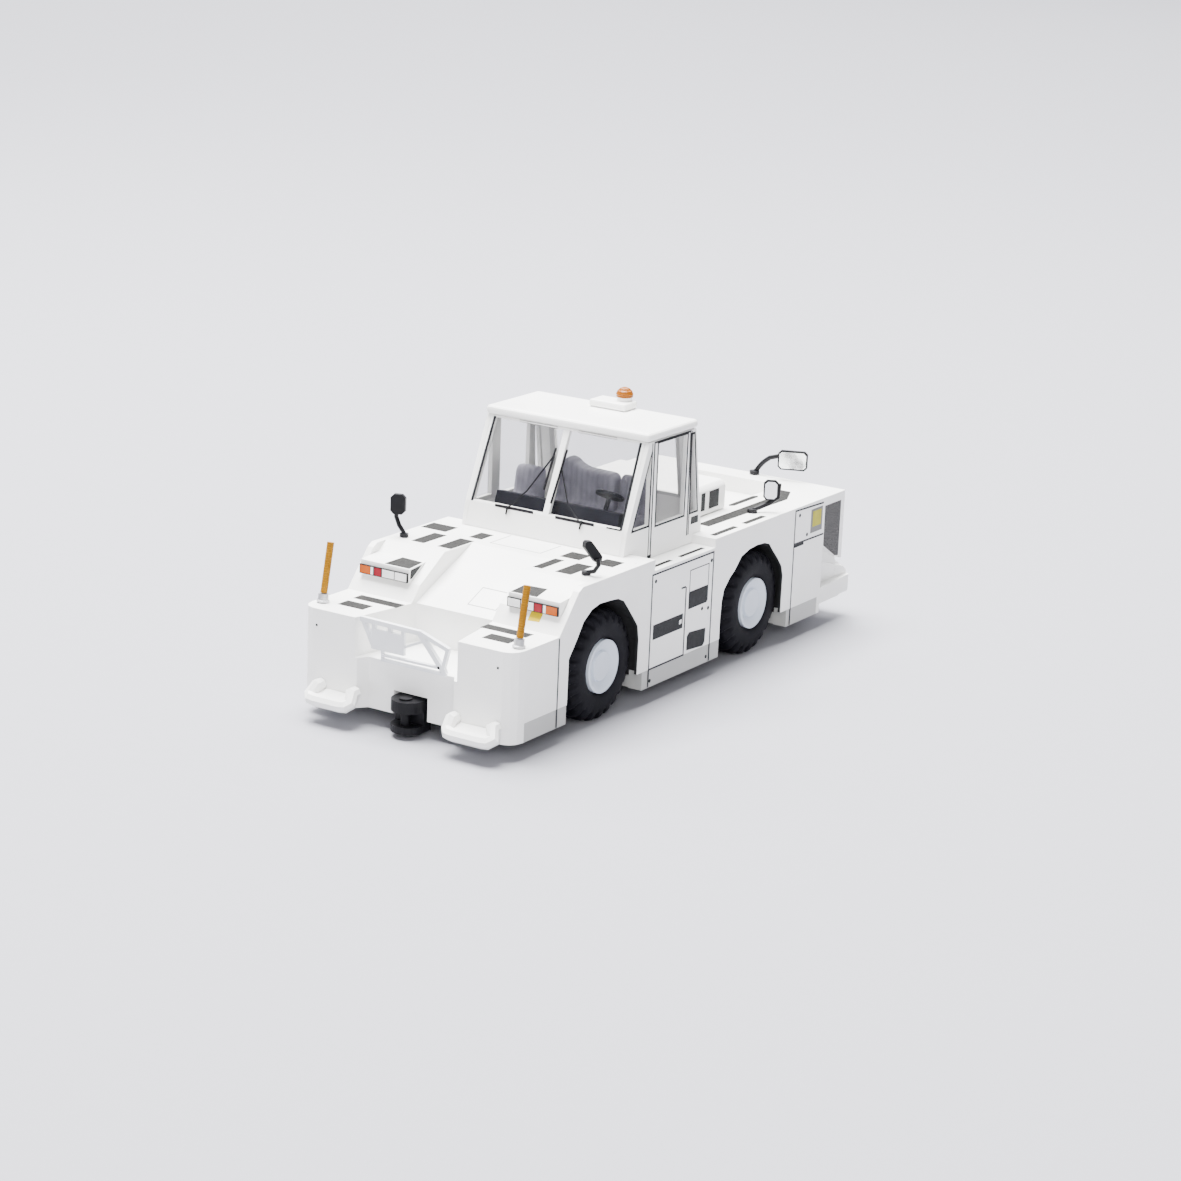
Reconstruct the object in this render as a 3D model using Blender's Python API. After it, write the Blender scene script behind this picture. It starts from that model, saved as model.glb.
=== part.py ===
"""Scale model of an aircraft pushback tractor, 1:200: die-cast body, plastic cab, towbar hitches, free-rolling wheels.

The front faces -Y, the vehicle's left is +X, and the ground is Z = 0. Sizes below are in millimetres.
"""

import math

import bmesh
import bpy
from mathutils import Matrix

for leftover in list(bpy.data.objects):
    bpy.data.objects.remove(leftover, do_unlink=True)

MM = 0.001
GAP = 0.03  # between pieces that are glued or pressed together

# Overall body
HALF_WIDTH = 8.25
FRONT_Y = -20.7
REAR_Y = 20.75
BOTTOM_Z = 1.15
SKIRT_TOP_Z = 2.40
POD_TOP_Z = 7.10
POD_REAR_Y = -15.9
DECK_Z = 9.80
LEDGE_Z = 9.05
LEDGE_FRONT_Y = -4.90
LEDGE_REAR_Y = 2.70
REAR_DECK_Z = 9.65
REAR_STEP_Y = 17.85  # the body's lower edge steps up behind this
REAR_BOTTOM_Z = 1.80
BUMPER_Y = REAR_Y + 1.55
FRONT_HITCH_Y = FRONT_Y + 1.38  # the face that each hitch jaw seats on
REAR_HITCH_Y = REAR_Y + 0.43
EDGE_ROUND = 0.22

# Front recess between the pods
RECESS_REAR_Y = -15.45
RECESS_HALF_REAR = 3.05
RECESS_HALF_FRONT = 4.30
RECESS_FLOOR_Z = 4.50
NOSE_HALF = 3.40
NOSE_Y = -20.05

# Bonnet trough between the fenders
BONNET_HALF = 3.10
BONNET_REAR_Y = -9.30

# Radiator well in the rear deck
WELL_HALF = 4.00
WELL_FRONT_Y = 10.35
WELL_REAR_Y = 18.80
WELL_FLOOR_Z = 8.50

# Wheels
TYRE_RADIUS = 3.73
TYRE_WIDTH = 2.60
RIM_RADIUS = 1.766
AXLE_RADIUS = 0.50
BEARING_RADIUS = 0.60
WHEEL_FACE_X = 7.92
FRONT_AXLE_Y = -10.06
REAR_AXLE_Y = 8.95
WELL_RADIUS = 4.15
LIP_X = 8.02

# Cab
CAB_HALF = 6.40
CAB_WALL = 0.30
CAB_TOP_Z = 16.93
ROOF_THICK = 0.60
CAB_FRONT_BASE_Y = -5.92
WINDSCREEN_LOW = (-5.55, 11.42)
WINDSCREEN_HIGH = (-3.28, 16.93)
CAB_REAR_BASE_Y = 3.82
CAB_REAR_TOP_Y = 2.55
GLASS_THICK = 0.14  # the sheet behind the openings
GLASS_SET_BACK = 0.03  # of each pane from the wall's outer face

# Hitches
PIN_RADIUS = 0.30
HITCH_HALF = 1.20

# Front steps and marker poles
STEP_BAR_RADIUS = 0.43
POLE_X = 7.56
POLE_Y = -19.36
POLE_HEIGHT = 3.90
POLE_RADIUS = 0.23
POLE_LEAN = 11.0

PAINT = {
    "white": ((0.86, 0.86, 0.84, 1), 0.30, 0.0),
    "grey": ((0.50, 0.51, 0.52, 1), 0.45, 0.0),
    "trim": ((0.66, 0.67, 0.69, 1), 0.50, 0.0),
    "rim": ((0.70, 0.73, 0.79, 1), 0.35, 0.0),
    "rubber": ((0.020, 0.019, 0.022, 1), 0.75, 0.0),
    "black": ((0.016, 0.016, 0.018, 1), 0.45, 0.0),
    "steel": ((0.55, 0.55, 0.56, 1), 0.30, 1.0),
    "seat": ((0.18, 0.18, 0.22, 1), 0.60, 0.0),
    "glass": ((0.80, 0.83, 0.85, 1), 0.05, 0.0),
    "amber": ((0.95, 0.32, 0.02, 1), 0.25, 0.0),
    "yellow": ((0.86, 0.42, 0.02, 1), 0.40, 0.0),
    }


def paint(obj, kind):
    """A material of the object's own, in one of the colours above."""
    colour, roughness, metallic = PAINT[kind]
    material = bpy.data.materials.new(obj.name)
    material.use_nodes = True
    shader = material.node_tree.nodes["Principled BSDF"]
    shader.inputs["Base Color"].default_value = colour
    shader.inputs["Roughness"].default_value = roughness
    shader.inputs["Metallic"].default_value = metallic
    obj.data.materials.clear()
    obj.data.materials.append(material)


def add_mesh(name, shape, kind, location=(0, 0, 0), turn=(0, 0, 0)):
    """An object from a bmesh, placed in millimetres and turned in degrees. Without a kind it is a tool for a Boolean."""
    bmesh.ops.recalc_face_normals(shape, faces=shape.faces)
    mesh = bpy.data.meshes.new(name)
    shape.to_mesh(mesh)
    shape.free()
    obj = bpy.data.objects.new(name, mesh)
    bpy.context.scene.collection.objects.link(obj)
    obj.location = location
    obj.rotation_euler = [math.radians(value) for value in turn]
    if kind:
        paint(obj, kind)
    else:
        obj.hide_render = True
        obj.display_type = "WIRE"
    return obj


def prism(name, kind, axis, outline, low, high, location=(0, 0, 0), turn=(0, 0, 0)):
    """A flat outline drawn across an axis and pulled along it. Across X it holds (y, z), across Y (x, z), across Z (x, y)."""
    place = {
        "X": lambda a, b, h: (h, a, b),
        "Y": lambda a, b, h: (a, h, b),
        "Z": lambda a, b, h: (a, b, h),
    }[axis]
    shape = bmesh.new()
    lower = [shape.verts.new(place(a, b, low)) for a, b in outline]
    upper = [shape.verts.new(place(a, b, high)) for a, b in outline]
    shape.faces.new(lower)
    shape.faces.new(upper)
    for index in range(len(outline)):
        after = (index + 1) % len(outline)
        shape.faces.new((lower[index], lower[after], upper[after], upper[index]))
    return add_mesh(name, shape, kind, location, turn)


def loft(name, kind, first, second):
    """A solid between two outlines of (x, y, z) points that match one to one."""
    shape = bmesh.new()
    near = [shape.verts.new(point) for point in first]
    far = [shape.verts.new(point) for point in second]
    shape.faces.new(near)
    shape.faces.new(far)
    for index in range(len(first)):
        after = (index + 1) % len(first)
        shape.faces.new((near[index], near[after], far[after], far[index]))
    bmesh.ops.triangulate(shape, faces=shape.faces)
    return add_mesh(name, shape, kind)


def box(name, kind, x, y, z, location=(0, 0, 0), turn=(0, 0, 0)):
    """A box from three (low, high) pairs."""
    outline = [(x[0], y[0]), (x[1], y[0]), (x[1], y[1]), (x[0], y[1])]
    return prism(name, kind, "Z", outline, z[0], z[1], location, turn)


def lathe(name, kind, axis, profile, segments, location=(0, 0, 0), turn=(0, 0, 0)):
    """A closed ring or solid turned round an axis from (height, radius) points. A radius of 0 closes an end."""
    place = {
        "X": lambda h, c, s: (h, c, s),
        "Y": lambda h, c, s: (c, h, s),
        "Z": lambda h, c, s: (c, s, h),
    }[axis]
    shape = bmesh.new()
    rings = []
    for height, radius in profile:
        if radius == 0:
            rings.append([shape.verts.new(place(height, 0, 0))])
            continue
        ring = []
        for step in range(segments):
            angle = 2 * math.pi * step / segments
            ring.append(shape.verts.new(place(height, radius * math.cos(angle), radius * math.sin(angle))))
        rings.append(ring)
    closed = len(rings[0]) > 1 and len(rings[-1]) > 1
    pairs = list(zip(rings, rings[1:])) + ([(rings[-1], rings[0])] if closed else [])
    for first, second in pairs:
        for step in range(segments):
            after = (step + 1) % segments
            if len(first) == 1 and len(second) == 1:
                break
            if len(first) == 1:
                shape.faces.new((first[0], second[step], second[after]))
            elif len(second) == 1:
                shape.faces.new((first[step], first[after], second[0]))
            else:
                shape.faces.new((first[step], first[after], second[after], second[step]))
    return add_mesh(name, shape, kind, location, turn)


def cylinder(name, kind, axis, low, high, radius, segments, location=(0, 0, 0), turn=(0, 0, 0)):
    profile = [(low, 0), (low, radius), (high, radius), (high, 0)]
    return lathe(name, kind, axis, profile, segments, location, turn)


def wire(name, kind, points, radius, location=(0, 0, 0), sides=3):
    """A round bar along a line of points, with closed ends."""
    curve = bpy.data.curves.new(name, "CURVE")
    curve.dimensions = "3D"
    curve.bevel_depth = radius
    curve.bevel_resolution = sides
    curve.use_fill_caps = True
    spline = curve.splines.new("POLY")
    spline.points.add(len(points) - 1)
    for point, (x, y, z) in zip(spline.points, points):
        point.co = (x, y, z, 1)
    raw = bpy.data.objects.new(name + "_line", curve)
    bpy.context.scene.collection.objects.link(raw)
    mesh = bpy.data.meshes.new_from_object(raw)
    bpy.data.objects.remove(raw, do_unlink=True)
    shape = bmesh.new()
    shape.from_mesh(mesh)
    bmesh.ops.remove_doubles(shape, verts=shape.verts, dist=1e-4)
    return add_mesh(name, shape, kind, location)


def change(obj, tool, operation):
    """One exact Boolean with another object as its tool."""
    modifier = obj.modifiers.new(operation.lower(), "BOOLEAN")
    modifier.operation = operation
    modifier.solver = "EXACT"
    modifier.object = tool
    return obj


def cut(obj, *tools):
    for tool in tools:
        change(obj, tool, "DIFFERENCE")
    return obj


def join(obj, *tools):
    for tool in tools:
        change(obj, tool, "UNION")
    return obj


def bevel(obj, width, segments=2, angle=32):
    """Rounds every edge sharper than the angle."""
    modifier = obj.modifiers.new("round", "BEVEL")
    modifier.width = width
    modifier.segments = segments
    modifier.limit_method = "ANGLE"
    modifier.angle_limit = math.radians(angle)
    modifier.use_clamp_overlap = True
    return obj


def mirrored(outline):
    """The same outline on the other side of the centre line."""
    return [(-a, b) for a, b in reversed(outline)]


def shrink(outline, margin):
    """A convex outline moved inwards by a margin along every edge."""
    area = sum(a[0] * b[1] - b[0] * a[1] for a, b in zip(outline, outline[1:] + outline[:1]))
    turn = 1 if area > 0 else -1
    edges = []
    for start, end in zip(outline, outline[1:] + outline[:1]):
        run = (end[0] - start[0], end[1] - start[1])
        length = math.hypot(*run)
        shift = (-run[1] / length * margin * turn, run[0] / length * margin * turn)
        edges.append(((start[0] + shift[0], start[1] + shift[1]), run))
    corners = []
    for (first, along), (second, across) in zip(edges[-1:] + edges[:-1], edges):
        cross = along[0] * across[1] - along[1] * across[0]
        reach = ((second[0] - first[0]) * across[1] - (second[1] - first[1]) * across[0]) / cross
        corners.append((first[0] + along[0] * reach, first[1] + along[1] * reach))
    return corners


def line_y(low, high, z):
    """The y at a height on the line between two (y, z) points."""
    return low[0] + (high[0] - low[0]) * (z - low[1]) / (high[1] - low[1])


# ---------------------------------------------------------------- body casting
SIDE = [
    (FRONT_Y - 2, BOTTOM_Z),
    (FRONT_Y - 2, POD_TOP_Z),
    (POD_REAR_Y, POD_TOP_Z),
    (-13.85, 9.55),
    (-13.40, DECK_Z),
    (LEDGE_FRONT_Y, DECK_Z),
    (LEDGE_FRONT_Y, LEDGE_Z),
    (LEDGE_REAR_Y, LEDGE_Z),
    (LEDGE_REAR_Y, REAR_DECK_Z),
    (REAR_Y, REAR_DECK_Z),
    (REAR_Y, REAR_BOTTOM_Z),
    (REAR_STEP_Y, REAR_BOTTOM_Z),
    (REAR_STEP_Y, BOTTOM_Z),
]
PLAN_RIGHT = [
    (NOSE_HALF - 0.10, NOSE_Y),
    (NOSE_HALF + 0.35, FRONT_Y),
    (HALF_WIDTH - 0.90, FRONT_Y),
    (HALF_WIDTH - 0.40, FRONT_Y + 0.20),
    (HALF_WIDTH - 0.10, FRONT_Y + 0.60),
    (HALF_WIDTH, FRONT_Y + 1.15),
    (HALF_WIDTH, REAR_Y + 1.25),
]
body = prism("body_casting", "white", "X", SIDE, -HALF_WIDTH - 1, HALF_WIDTH + 1)
plan = prism("tool_plan", None, "Z", PLAN_RIGHT + mirrored(PLAN_RIGHT), -2, 14)
change(body, plan, "INTERSECT")
recess = prism(
    "tool_recess", None, "Z",
    [
        (RECESS_HALF_REAR, RECESS_REAR_Y),
        (RECESS_HALF_FRONT, FRONT_Y - 2),
        (-RECESS_HALF_FRONT, FRONT_Y - 2),
        (-RECESS_HALF_REAR, RECESS_REAR_Y),
    ],
    RECESS_FLOOR_Z, 14,
)
trough = prism(
    "tool_trough", None, "X",
    [
        (RECESS_REAR_Y - 2, POD_TOP_Z - 0.05),
        (RECESS_REAR_Y, POD_TOP_Z - 0.05),
        (BONNET_REAR_Y, DECK_Z + 0.02),
        (BONNET_REAR_Y, 14),
        (RECESS_REAR_Y - 2, 14),
    ],
    -BONNET_HALF, BONNET_HALF,
)
LAMP_X = (3.86, 7.74)
brows = []
for side, sign in (("left", 1), ("right", -1)):
    ends = sorted((sign * BONNET_HALF * 0.9, sign * 7.78))
    brows.append(
        prism(
            "tool_brow_" + side, None, "X",
            [(-17, 8.13), (-15.04, 8.13), (-12.40, DECK_Z + 0.02), (-12.40, 14), (-17, 14)],
            ends[0], ends[1],
        )
    )
well = box("tool_well", None, (-WELL_HALF, WELL_HALF), (WELL_FRONT_Y, WELL_REAR_Y), (WELL_FLOOR_Z, 14))
cut(body, recess, trough, *brows, well)
bevel(body, EDGE_ROUND)

FRONT_ARCH = [
    (-14.80, -1.0), (-14.75, 5.40), (-13.90, 6.47), (-13.20, 7.48), (-12.30, 8.07), (-11.40, 8.27),
    (-10.20, 8.22), (-9.20, 8.12), (-8.50, 7.80), (-8.00, 7.25), (-7.25, 6.40), (-6.70, 5.74),
    (-6.52, 4.75), (-6.55, 2.60), (-6.75, -1.0),
]
REAR_ARCH = [
    (3.82, -1.0), (3.82, 3.80), (3.93, 5.10), (4.15, 5.80), (4.85, 6.50), (5.50, 6.92), (6.30, 7.70),
    (7.35, 8.00), (8.45, 8.08), (9.40, 8.02), (10.10, 7.80), (10.60, 7.27), (11.40, 6.50),
    (12.00, 5.82), (12.24, 5.10), (12.22, 4.00), (12.16, -1.0),
]
for side, sign in (("left", 1), ("right", -1)):
    for where, arch, axle in (("front", FRONT_ARCH, FRONT_AXLE_Y), ("rear", REAR_ARCH, REAR_AXLE_Y)):
        outer = sorted((sign * 5.1, sign * 10))
        cut(body, prism(f"tool_arch_{where}_{side}", None, "X", arch, outer[0], outer[1]))
        inner = sorted((sign * 4.6, sign * LIP_X))
        circle = [
            (axle + WELL_RADIUS * math.cos(math.radians(angle)), TYRE_RADIUS + WELL_RADIUS * math.sin(math.radians(angle)))
            for angle in range(0, 181, 12)
        ]
        dome = [(axle + WELL_RADIUS, -1.0)] + circle + [(axle - WELL_RADIUS, -1.0)]
        cut(body, prism(f"tool_wheel_well_{where}_{side}", None, "X", dome, inner[0], inner[1]))

# Recess of the tail above the bumper band, on both sides: (x, z) outlines at its front and rear end
TAIL_FRONT = [(9.50, 6.05), (7.45, 6.00), (7.75, 4.90), (7.55, 4.66), (7.40, 2.97), (9.50, 2.97)]
TAIL_REAR = [(9.50, 3.55), (7.90, 3.50), (8.05, 3.36), (7.98, 3.28), (8.05, 3.10), (9.50, 3.10)]
tail_cuts = []
for side, sign in (("left", 1), ("right", -1)):
    tail_cuts.append(
        loft(
            "tool_tail_" + side, None,
            [(sign * x, REAR_STEP_Y, z) for x, z in TAIL_FRONT],
            [(sign * x, 23.0, z) for x, z in TAIL_REAR],
        )
    )
cut(body, *tail_cuts)

# Hollows of the casting, open below: (x low, x high, y low, y high, top)
HOLLOWS = {
    "pod_left": (3.90, 7.10, -18.90, -15.55, 6.20),
    "pod_right": (-7.10, -3.90, -18.90, -15.55, 6.20),
    "nose": (-3.20, 3.20, -18.85, -15.55, 3.60),
    "front": (-4.00, 4.00, -14.90, -6.40, 6.00),
    "middle": (-7.10, 7.10, -5.20, 2.90, 8.05),
    "rear": (-4.00, 4.00, 3.90, 12.60, 7.30),
    "tail": (-7.10, 7.10, 13.70, 17.20, 7.30),
}
for where, (x0, x1, y0, y1, top) in HOLLOWS.items():
    cut(body, box("tool_hollow_" + where, None, (x0, x1), (y0, y1), (-1, top)))
for where, axle in (("front", FRONT_AXLE_Y), ("rear", REAR_AXLE_Y)):
    slot = box(f"tool_axle_slot_{where}", None, (-5.0, 5.0), (axle - 0.80, axle + 0.80), (-1, TYRE_RADIUS + 0.80))
    cut(body, slot)
base_pocket = box("tool_base_pocket", None, (-7.30, 7.30), (-19.00, REAR_STEP_Y - 0.4), (-1, 2.05))
skirt_pocket = prism(
    "tool_skirt_pocket", None, "Z",
    [
        (7.20, -19.50), (HALF_WIDTH + 1, -19.50), (HALF_WIDTH + 1, REAR_STEP_Y - 0.4), (7.20, REAR_STEP_Y - 0.4),
    ],
    -1, SKIRT_TOP_Z,
)
skirt_pocket_right = prism(
    "tool_skirt_pocket_right", None, "Z",
    [
        (-HALF_WIDTH - 1, -19.50), (-7.20, -19.50), (-7.20, REAR_STEP_Y - 0.4), (-HALF_WIDTH - 1, REAR_STEP_Y - 0.4),
    ],
    -1, SKIRT_TOP_Z,
)
notch = box("tool_hitch_notch", None, (-1.32, 1.32), (FRONT_Y - 2, FRONT_HITCH_Y + 0.02), (-1, 2.70))
cut(body, base_pocket, skirt_pocket, skirt_pocket_right, notch)

# ---------------------------------------------------------------- base plate with skirts and axle bearings
base = box(
    "base_plate", "grey",
    (-7.30 + GAP, 7.30 - GAP), (-19.00 + GAP, REAR_STEP_Y - 0.4 - GAP), (BOTTOM_Z + 0.05, 2.00),
)
for side, sign in (("left", 1), ("right", -1)):
    ends = sorted((sign * (7.20 + GAP), sign * (HALF_WIDTH - 0.03)))
    skirt = box(
        "tool_skirt_" + side, None, tuple(ends),
        (-19.50 + GAP, REAR_STEP_Y - 0.4 - GAP), (BOTTOM_Z, SKIRT_TOP_Z - GAP),
    )
    join(base, skirt)
for side, sign in (("left", 1), ("right", -1)):
    for where, arch, axle in (("front", FRONT_ARCH, FRONT_AXLE_Y), ("rear", REAR_ARCH, REAR_AXLE_Y)):
        outer = sorted((sign * 4.4, sign * 10))
        opening = box(
            f"tool_base_opening_{where}_{side}", None, tuple(outer),
            (axle - WELL_RADIUS, axle + WELL_RADIUS), (-1, 5),
        )
        lip = sorted((sign * 6.8, sign * 10))
        first = min(arch[0][0], axle - WELL_RADIUS)
        last = max(arch[-1][0], axle + WELL_RADIUS)
        cut(base, opening, box(f"tool_base_lip_{where}_{side}", None, tuple(lip), (first, last), (-1, 5)))
for where, axle in (("front", FRONT_AXLE_Y), ("rear", REAR_AXLE_Y)):
    for side, sign in (("left", 1), ("right", -1)):
        ends = sorted((sign * 2.6, sign * 3.6))
        join(base, box(f"tool_bearing_{where}_{side}", None, tuple(ends), (axle - 1.1, axle + 1.1), (1.5, 4.75)))
    cut(base, cylinder(f"tool_bore_{where}", None, "X", -6, 6, BEARING_RADIUS, 24, (0, axle, TYRE_RADIUS)))

# ---------------------------------------------------------------- wheels and axles
TYRE_HALF = TYRE_WIDTH / 2
for where, axle in (("front", FRONT_AXLE_Y), ("rear", REAR_AXLE_Y)):
    cylinder(f"{where}_axle", "steel", "X", -6.6, 6.6, AXLE_RADIUS, 24, (0, axle, TYRE_RADIUS))
    for side, sign in (("left", 1), ("right", -1)):
        centre = (sign * (WHEEL_FACE_X - 0.06 - TYRE_HALF), axle, TYRE_RADIUS)
        tyre = [
            (-TYRE_HALF, RIM_RADIUS + 0.02), (-TYRE_HALF, 3.20), (-TYRE_HALF + 0.25, 3.55),
            (-TYRE_HALF + 0.55, TYRE_RADIUS), (TYRE_HALF - 0.55, TYRE_RADIUS), (TYRE_HALF - 0.25, 3.55),
            (TYRE_HALF - 0.02, 3.20), (TYRE_HALF, 2.55), (TYRE_HALF - 0.05, RIM_RADIUS + 0.02),
        ]
        rim = [
            (-TYRE_HALF, AXLE_RADIUS + 0.015), (-TYRE_HALF, RIM_RADIUS), (TYRE_HALF + 0.02, RIM_RADIUS),
            (TYRE_HALF + 0.06, RIM_RADIUS - 0.12), (TYRE_HALF - 0.22, 1.12), (TYRE_HALF - 0.28, 1.02),
            (TYRE_HALF - 0.10, 0.96), (TYRE_HALF - 0.10, 0.0), (6.62 - abs(centre[0]), 0.0),
            (6.62 - abs(centre[0]), AXLE_RADIUS + 0.015),
        ]
        if sign < 0:
            tyre = [(-height, radius) for height, radius in tyre]
            rim = [(-height, radius) for height, radius in rim]
        lathe(f"tyre_{where}_{side}", "rubber", "X", tyre, 48, centre)
        lathe(f"rim_{where}_{side}", "rim", "X", rim, 36, centre)

# ---------------------------------------------------------------- engine cover and rear bumper
cover = prism(
    "engine_cover", "white", "Y",
    [(-4.50, 9.68), (-4.50, 11.40), (-4.20, 11.75), (4.20, 11.75), (4.50, 11.40), (4.50, 9.68)],
    4.30, 10.20,
)
bevel(cover, 0.14)
bumper = prism(
    "rear_bumper", "white", "X",
    [
        (REAR_Y + GAP, REAR_BOTTOM_Z), (BUMPER_Y, REAR_BOTTOM_Z), (BUMPER_Y, 3.35), (REAR_Y + GAP, 4.35),
    ],
    -HALF_WIDTH + 0.07, HALF_WIDTH - 0.07,
)
bevel(bumper, 0.12)
cut(bumper, *tail_cuts, box("tool_rear_notch", None, (-1.30, 1.30), (REAR_HITCH_Y - 0.03, REAR_Y + 4), (0, 3.05)))

# ---------------------------------------------------------------- hitches
# Each is a jaw of two plates with rounded ends, joined by a web, and a pin through both: y of the web's face
# against the body, y of the pin, then the four heights of the lower and upper plate.
HITCHES = {
    "front": (-1, FRONT_HITCH_Y, FRONT_HITCH_Y - 0.94, 1.10, (0.40, 0.85, 1.75, 2.50)),
    "rear": (1, REAR_HITCH_Y, REAR_HITCH_Y + 0.22, 0.85, (1.85, 2.12, 2.63, 2.90)),
}
for where, (direction, back_y, round_y, radius, (low, gap_low, gap_high, high)) in HITCHES.items():
    outline = [(-radius, back_y), (radius, back_y)]
    for step in range(17):
        angle = math.pi * step / 16
        outline.append((radius * math.cos(angle), round_y + direction * radius * math.sin(angle)))
    jaw = prism(f"{where}_hitch_jaw", "black", "Z", outline, low, high)
    mouth = sorted((round_y - direction * 0.16, round_y + direction * 3))
    cut(jaw, box(f"tool_{where}_mouth", None, (-2, 2), tuple(mouth), (gap_low, gap_high)))
    pin_y = round_y + direction * 0.30
    hole = cylinder(f"tool_{where}_pin_hole", None, "Z", low - 1, high + 1, PIN_RADIUS + 0.02, 20, (0, pin_y, 0))
    cut(jaw, hole)
    top = high + 0.02
    lathe(
        f"{where}_hitch_pin", "steel", "Z",
        [
            (low + 0.02, 0), (low + 0.02, PIN_RADIUS), (top, PIN_RADIUS),
            (top, PIN_RADIUS + 0.13), (top + 0.09, PIN_RADIUS + 0.13), (top + 0.09, 0),
        ],
        20, (0, pin_y, 0),
    )

# ---------------------------------------------------------------- front lattice between the pods
LATTICE = [
    ((-3.80, 7.00), (0.95, 6.92), 0.30),
    ((0.78, 6.97), (3.04, 6.24), 0.26),
    ((0.76, 6.95), (2.63, 4.85), 0.34),
    ((2.98, 6.29), (2.60, 4.80), 0.24),
    ((-2.10, 4.92), (2.72, 4.98), 0.15),
    ((-2.10, 4.62), (2.86, 4.62), 0.18),
    ((2.53, 5.10), (2.78, 4.62), 0.36),
    ((-3.60, 6.98), (-2.70, 5.30), 0.30),
    ((-2.90, 5.86), (-0.36, 5.86), 1.30),
    ((-2.75, 6.97), (-2.75, 6.30), 0.26),
    ((-1.50, 6.95), (-1.50, 6.30), 0.26),
    ((-0.48, 6.95), (-0.48, 6.30), 0.22),
    ((-0.50, 5.70), (1.25, 6.50), 0.15),
    ((-2.05, 5.40), (-2.05, 4.60), 0.16),
]
lattice = None
for number, (start, end, width) in enumerate(LATTICE):
    span = (end[0] - start[0], end[1] - start[1])
    length = math.hypot(*span)
    across = (-span[1] / length * width / 2, span[0] / length * width / 2)
    bar = [
        (start[0] + across[0], start[1] + across[1]),
        (start[0] - across[0], start[1] - across[1]),
        (end[0] - across[0], end[1] - across[1]),
        (end[0] + across[0], end[1] + across[1]),
    ]
    thin = 0.004 * number
    if lattice is None:
        lattice = prism("front_lattice", "trim", "Y", bar, -20.44, -20.14)
    else:
        join(lattice, prism(f"tool_bar_{number}", None, "Y", bar, -20.44 + thin, -20.14 - thin))

# ---------------------------------------------------------------- front steps
# A rounded bar down each side and across the front, with a tread inside it. The right one stands further inboard.
STEPS = {
    "left": [
        (3.95, 0), (3.95, 1), (3.98, 2), (4.22, 3), (4.60, 4),
        (6.75, 4), (7.13, 3), (7.37, 2), (7.02, 1), (7.02, 0),
    ],
    "right": [
        (-3.80, 0), (-3.80, 1), (-3.62, 2), (-3.80, 3), (-4.16, 4),
        (-6.10, 4), (-6.48, 3), (-6.74, 2), (-6.54, 1), (-6.54, 0),
    ],
}
STEP_ROWS = [(FRONT_Y - GAP, 2.20), (FRONT_Y - 0.45, 2.18), (-21.55, 1.66), (-21.82, 1.52), (-21.87, 1.50)]
for side, plan_points in STEPS.items():
    path = [(x, STEP_ROWS[row][0], STEP_ROWS[row][1]) for x, row in plan_points]
    bar = wire("front_step_" + side, "white", path, STEP_BAR_RADIUS, sides=2)
    ends = sorted((path[2][0], path[7][0]))
    tread = prism(
        "tool_tread_" + side, None, "X",
        [(FRONT_Y - GAP, 1.98), (-21.80, 1.72), (-21.80, 1.32), (FRONT_Y - GAP, 1.55)],
        ends[0], ends[1],
    )
    join(bar, tread)

# ---------------------------------------------------------------- lamp housings
for side, sign in (("left", 1), ("right", -1)):
    ends = sorted((sign * LAMP_X[0], sign * LAMP_X[1]))
    housing = prism(
        "lamp_housing_" + side, "white", "X",
        [(-15.24, 8.16), (-15.20, 9.06), (-13.42, 9.20), (-15.06, 8.16)],
        ends[0], ends[1],
    )
    lens_ends = sorted((sign * (LAMP_X[0] + 0.02), sign * (LAMP_X[1] - 0.02)))
    box(
        "lamp_lens_" + side, "trim", tuple(lens_ends), (-15.38, -15.27), (8.18, 8.80),
    )

# ---------------------------------------------------------------- marker poles
for side, sign in (("left", 1), ("right", -1)):
    foot = (sign * POLE_X, POLE_Y, POD_TOP_Z + 0.02)
    lathe(
        "pole_socket_" + side, "steel", "Z",
        [(0, 0), (0, 0.40), (0.12, 0.42), (0.16, 0.34), (0.55, 0.33), (0.55, 0)], 20, foot, (-POLE_LEAN / 2, 0, 0),
    )
    cylinder(
        "marker_pole_" + side, "yellow", "Z", 0.0, POLE_HEIGHT - 0.65, POLE_RADIUS, 16,
        (foot[0], foot[1] + 0.08, foot[2] + 0.60), (-POLE_LEAN, 0, 0),
    )

# ---------------------------------------------------------------- cab shell
LOW, HIGH = WINDSCREEN_LOW, WINDSCREEN_HIGH
SIDE_PANEL = [
    (CAB_FRONT_BASE_Y, DECK_Z + GAP), LOW, HIGH, (CAB_REAR_TOP_Y, CAB_TOP_Z), (CAB_REAR_BASE_Y, REAR_DECK_Z + GAP),
    (LEDGE_REAR_Y + 0.02, REAR_DECK_Z + GAP), (LEDGE_REAR_Y - 0.03, LEDGE_Z + GAP),
    (LEDGE_FRONT_Y + 0.03, LEDGE_Z + GAP), (LEDGE_FRONT_Y - 0.02, DECK_Z + GAP),
]
SIDE_WINDOWS = {
    "front": [(-4.90, 11.38), (-2.98, 11.38), (-2.98, 16.05)],
    "door": [(-2.05, 11.25), (1.40, 11.25), (1.45, 16.70), (-2.10, 16.70)],
    "rear": [(2.30, 11.25), (3.12, 11.25), (2.32, 16.60), (1.98, 16.60)],
}
SIDE_SHEET = [(-5.02, 11.12), (-2.90, 16.30), (-2.80, 16.78), (2.20, 16.78), (3.18, 11.12)]
INSIDE_X = CAB_HALF - CAB_WALL
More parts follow.
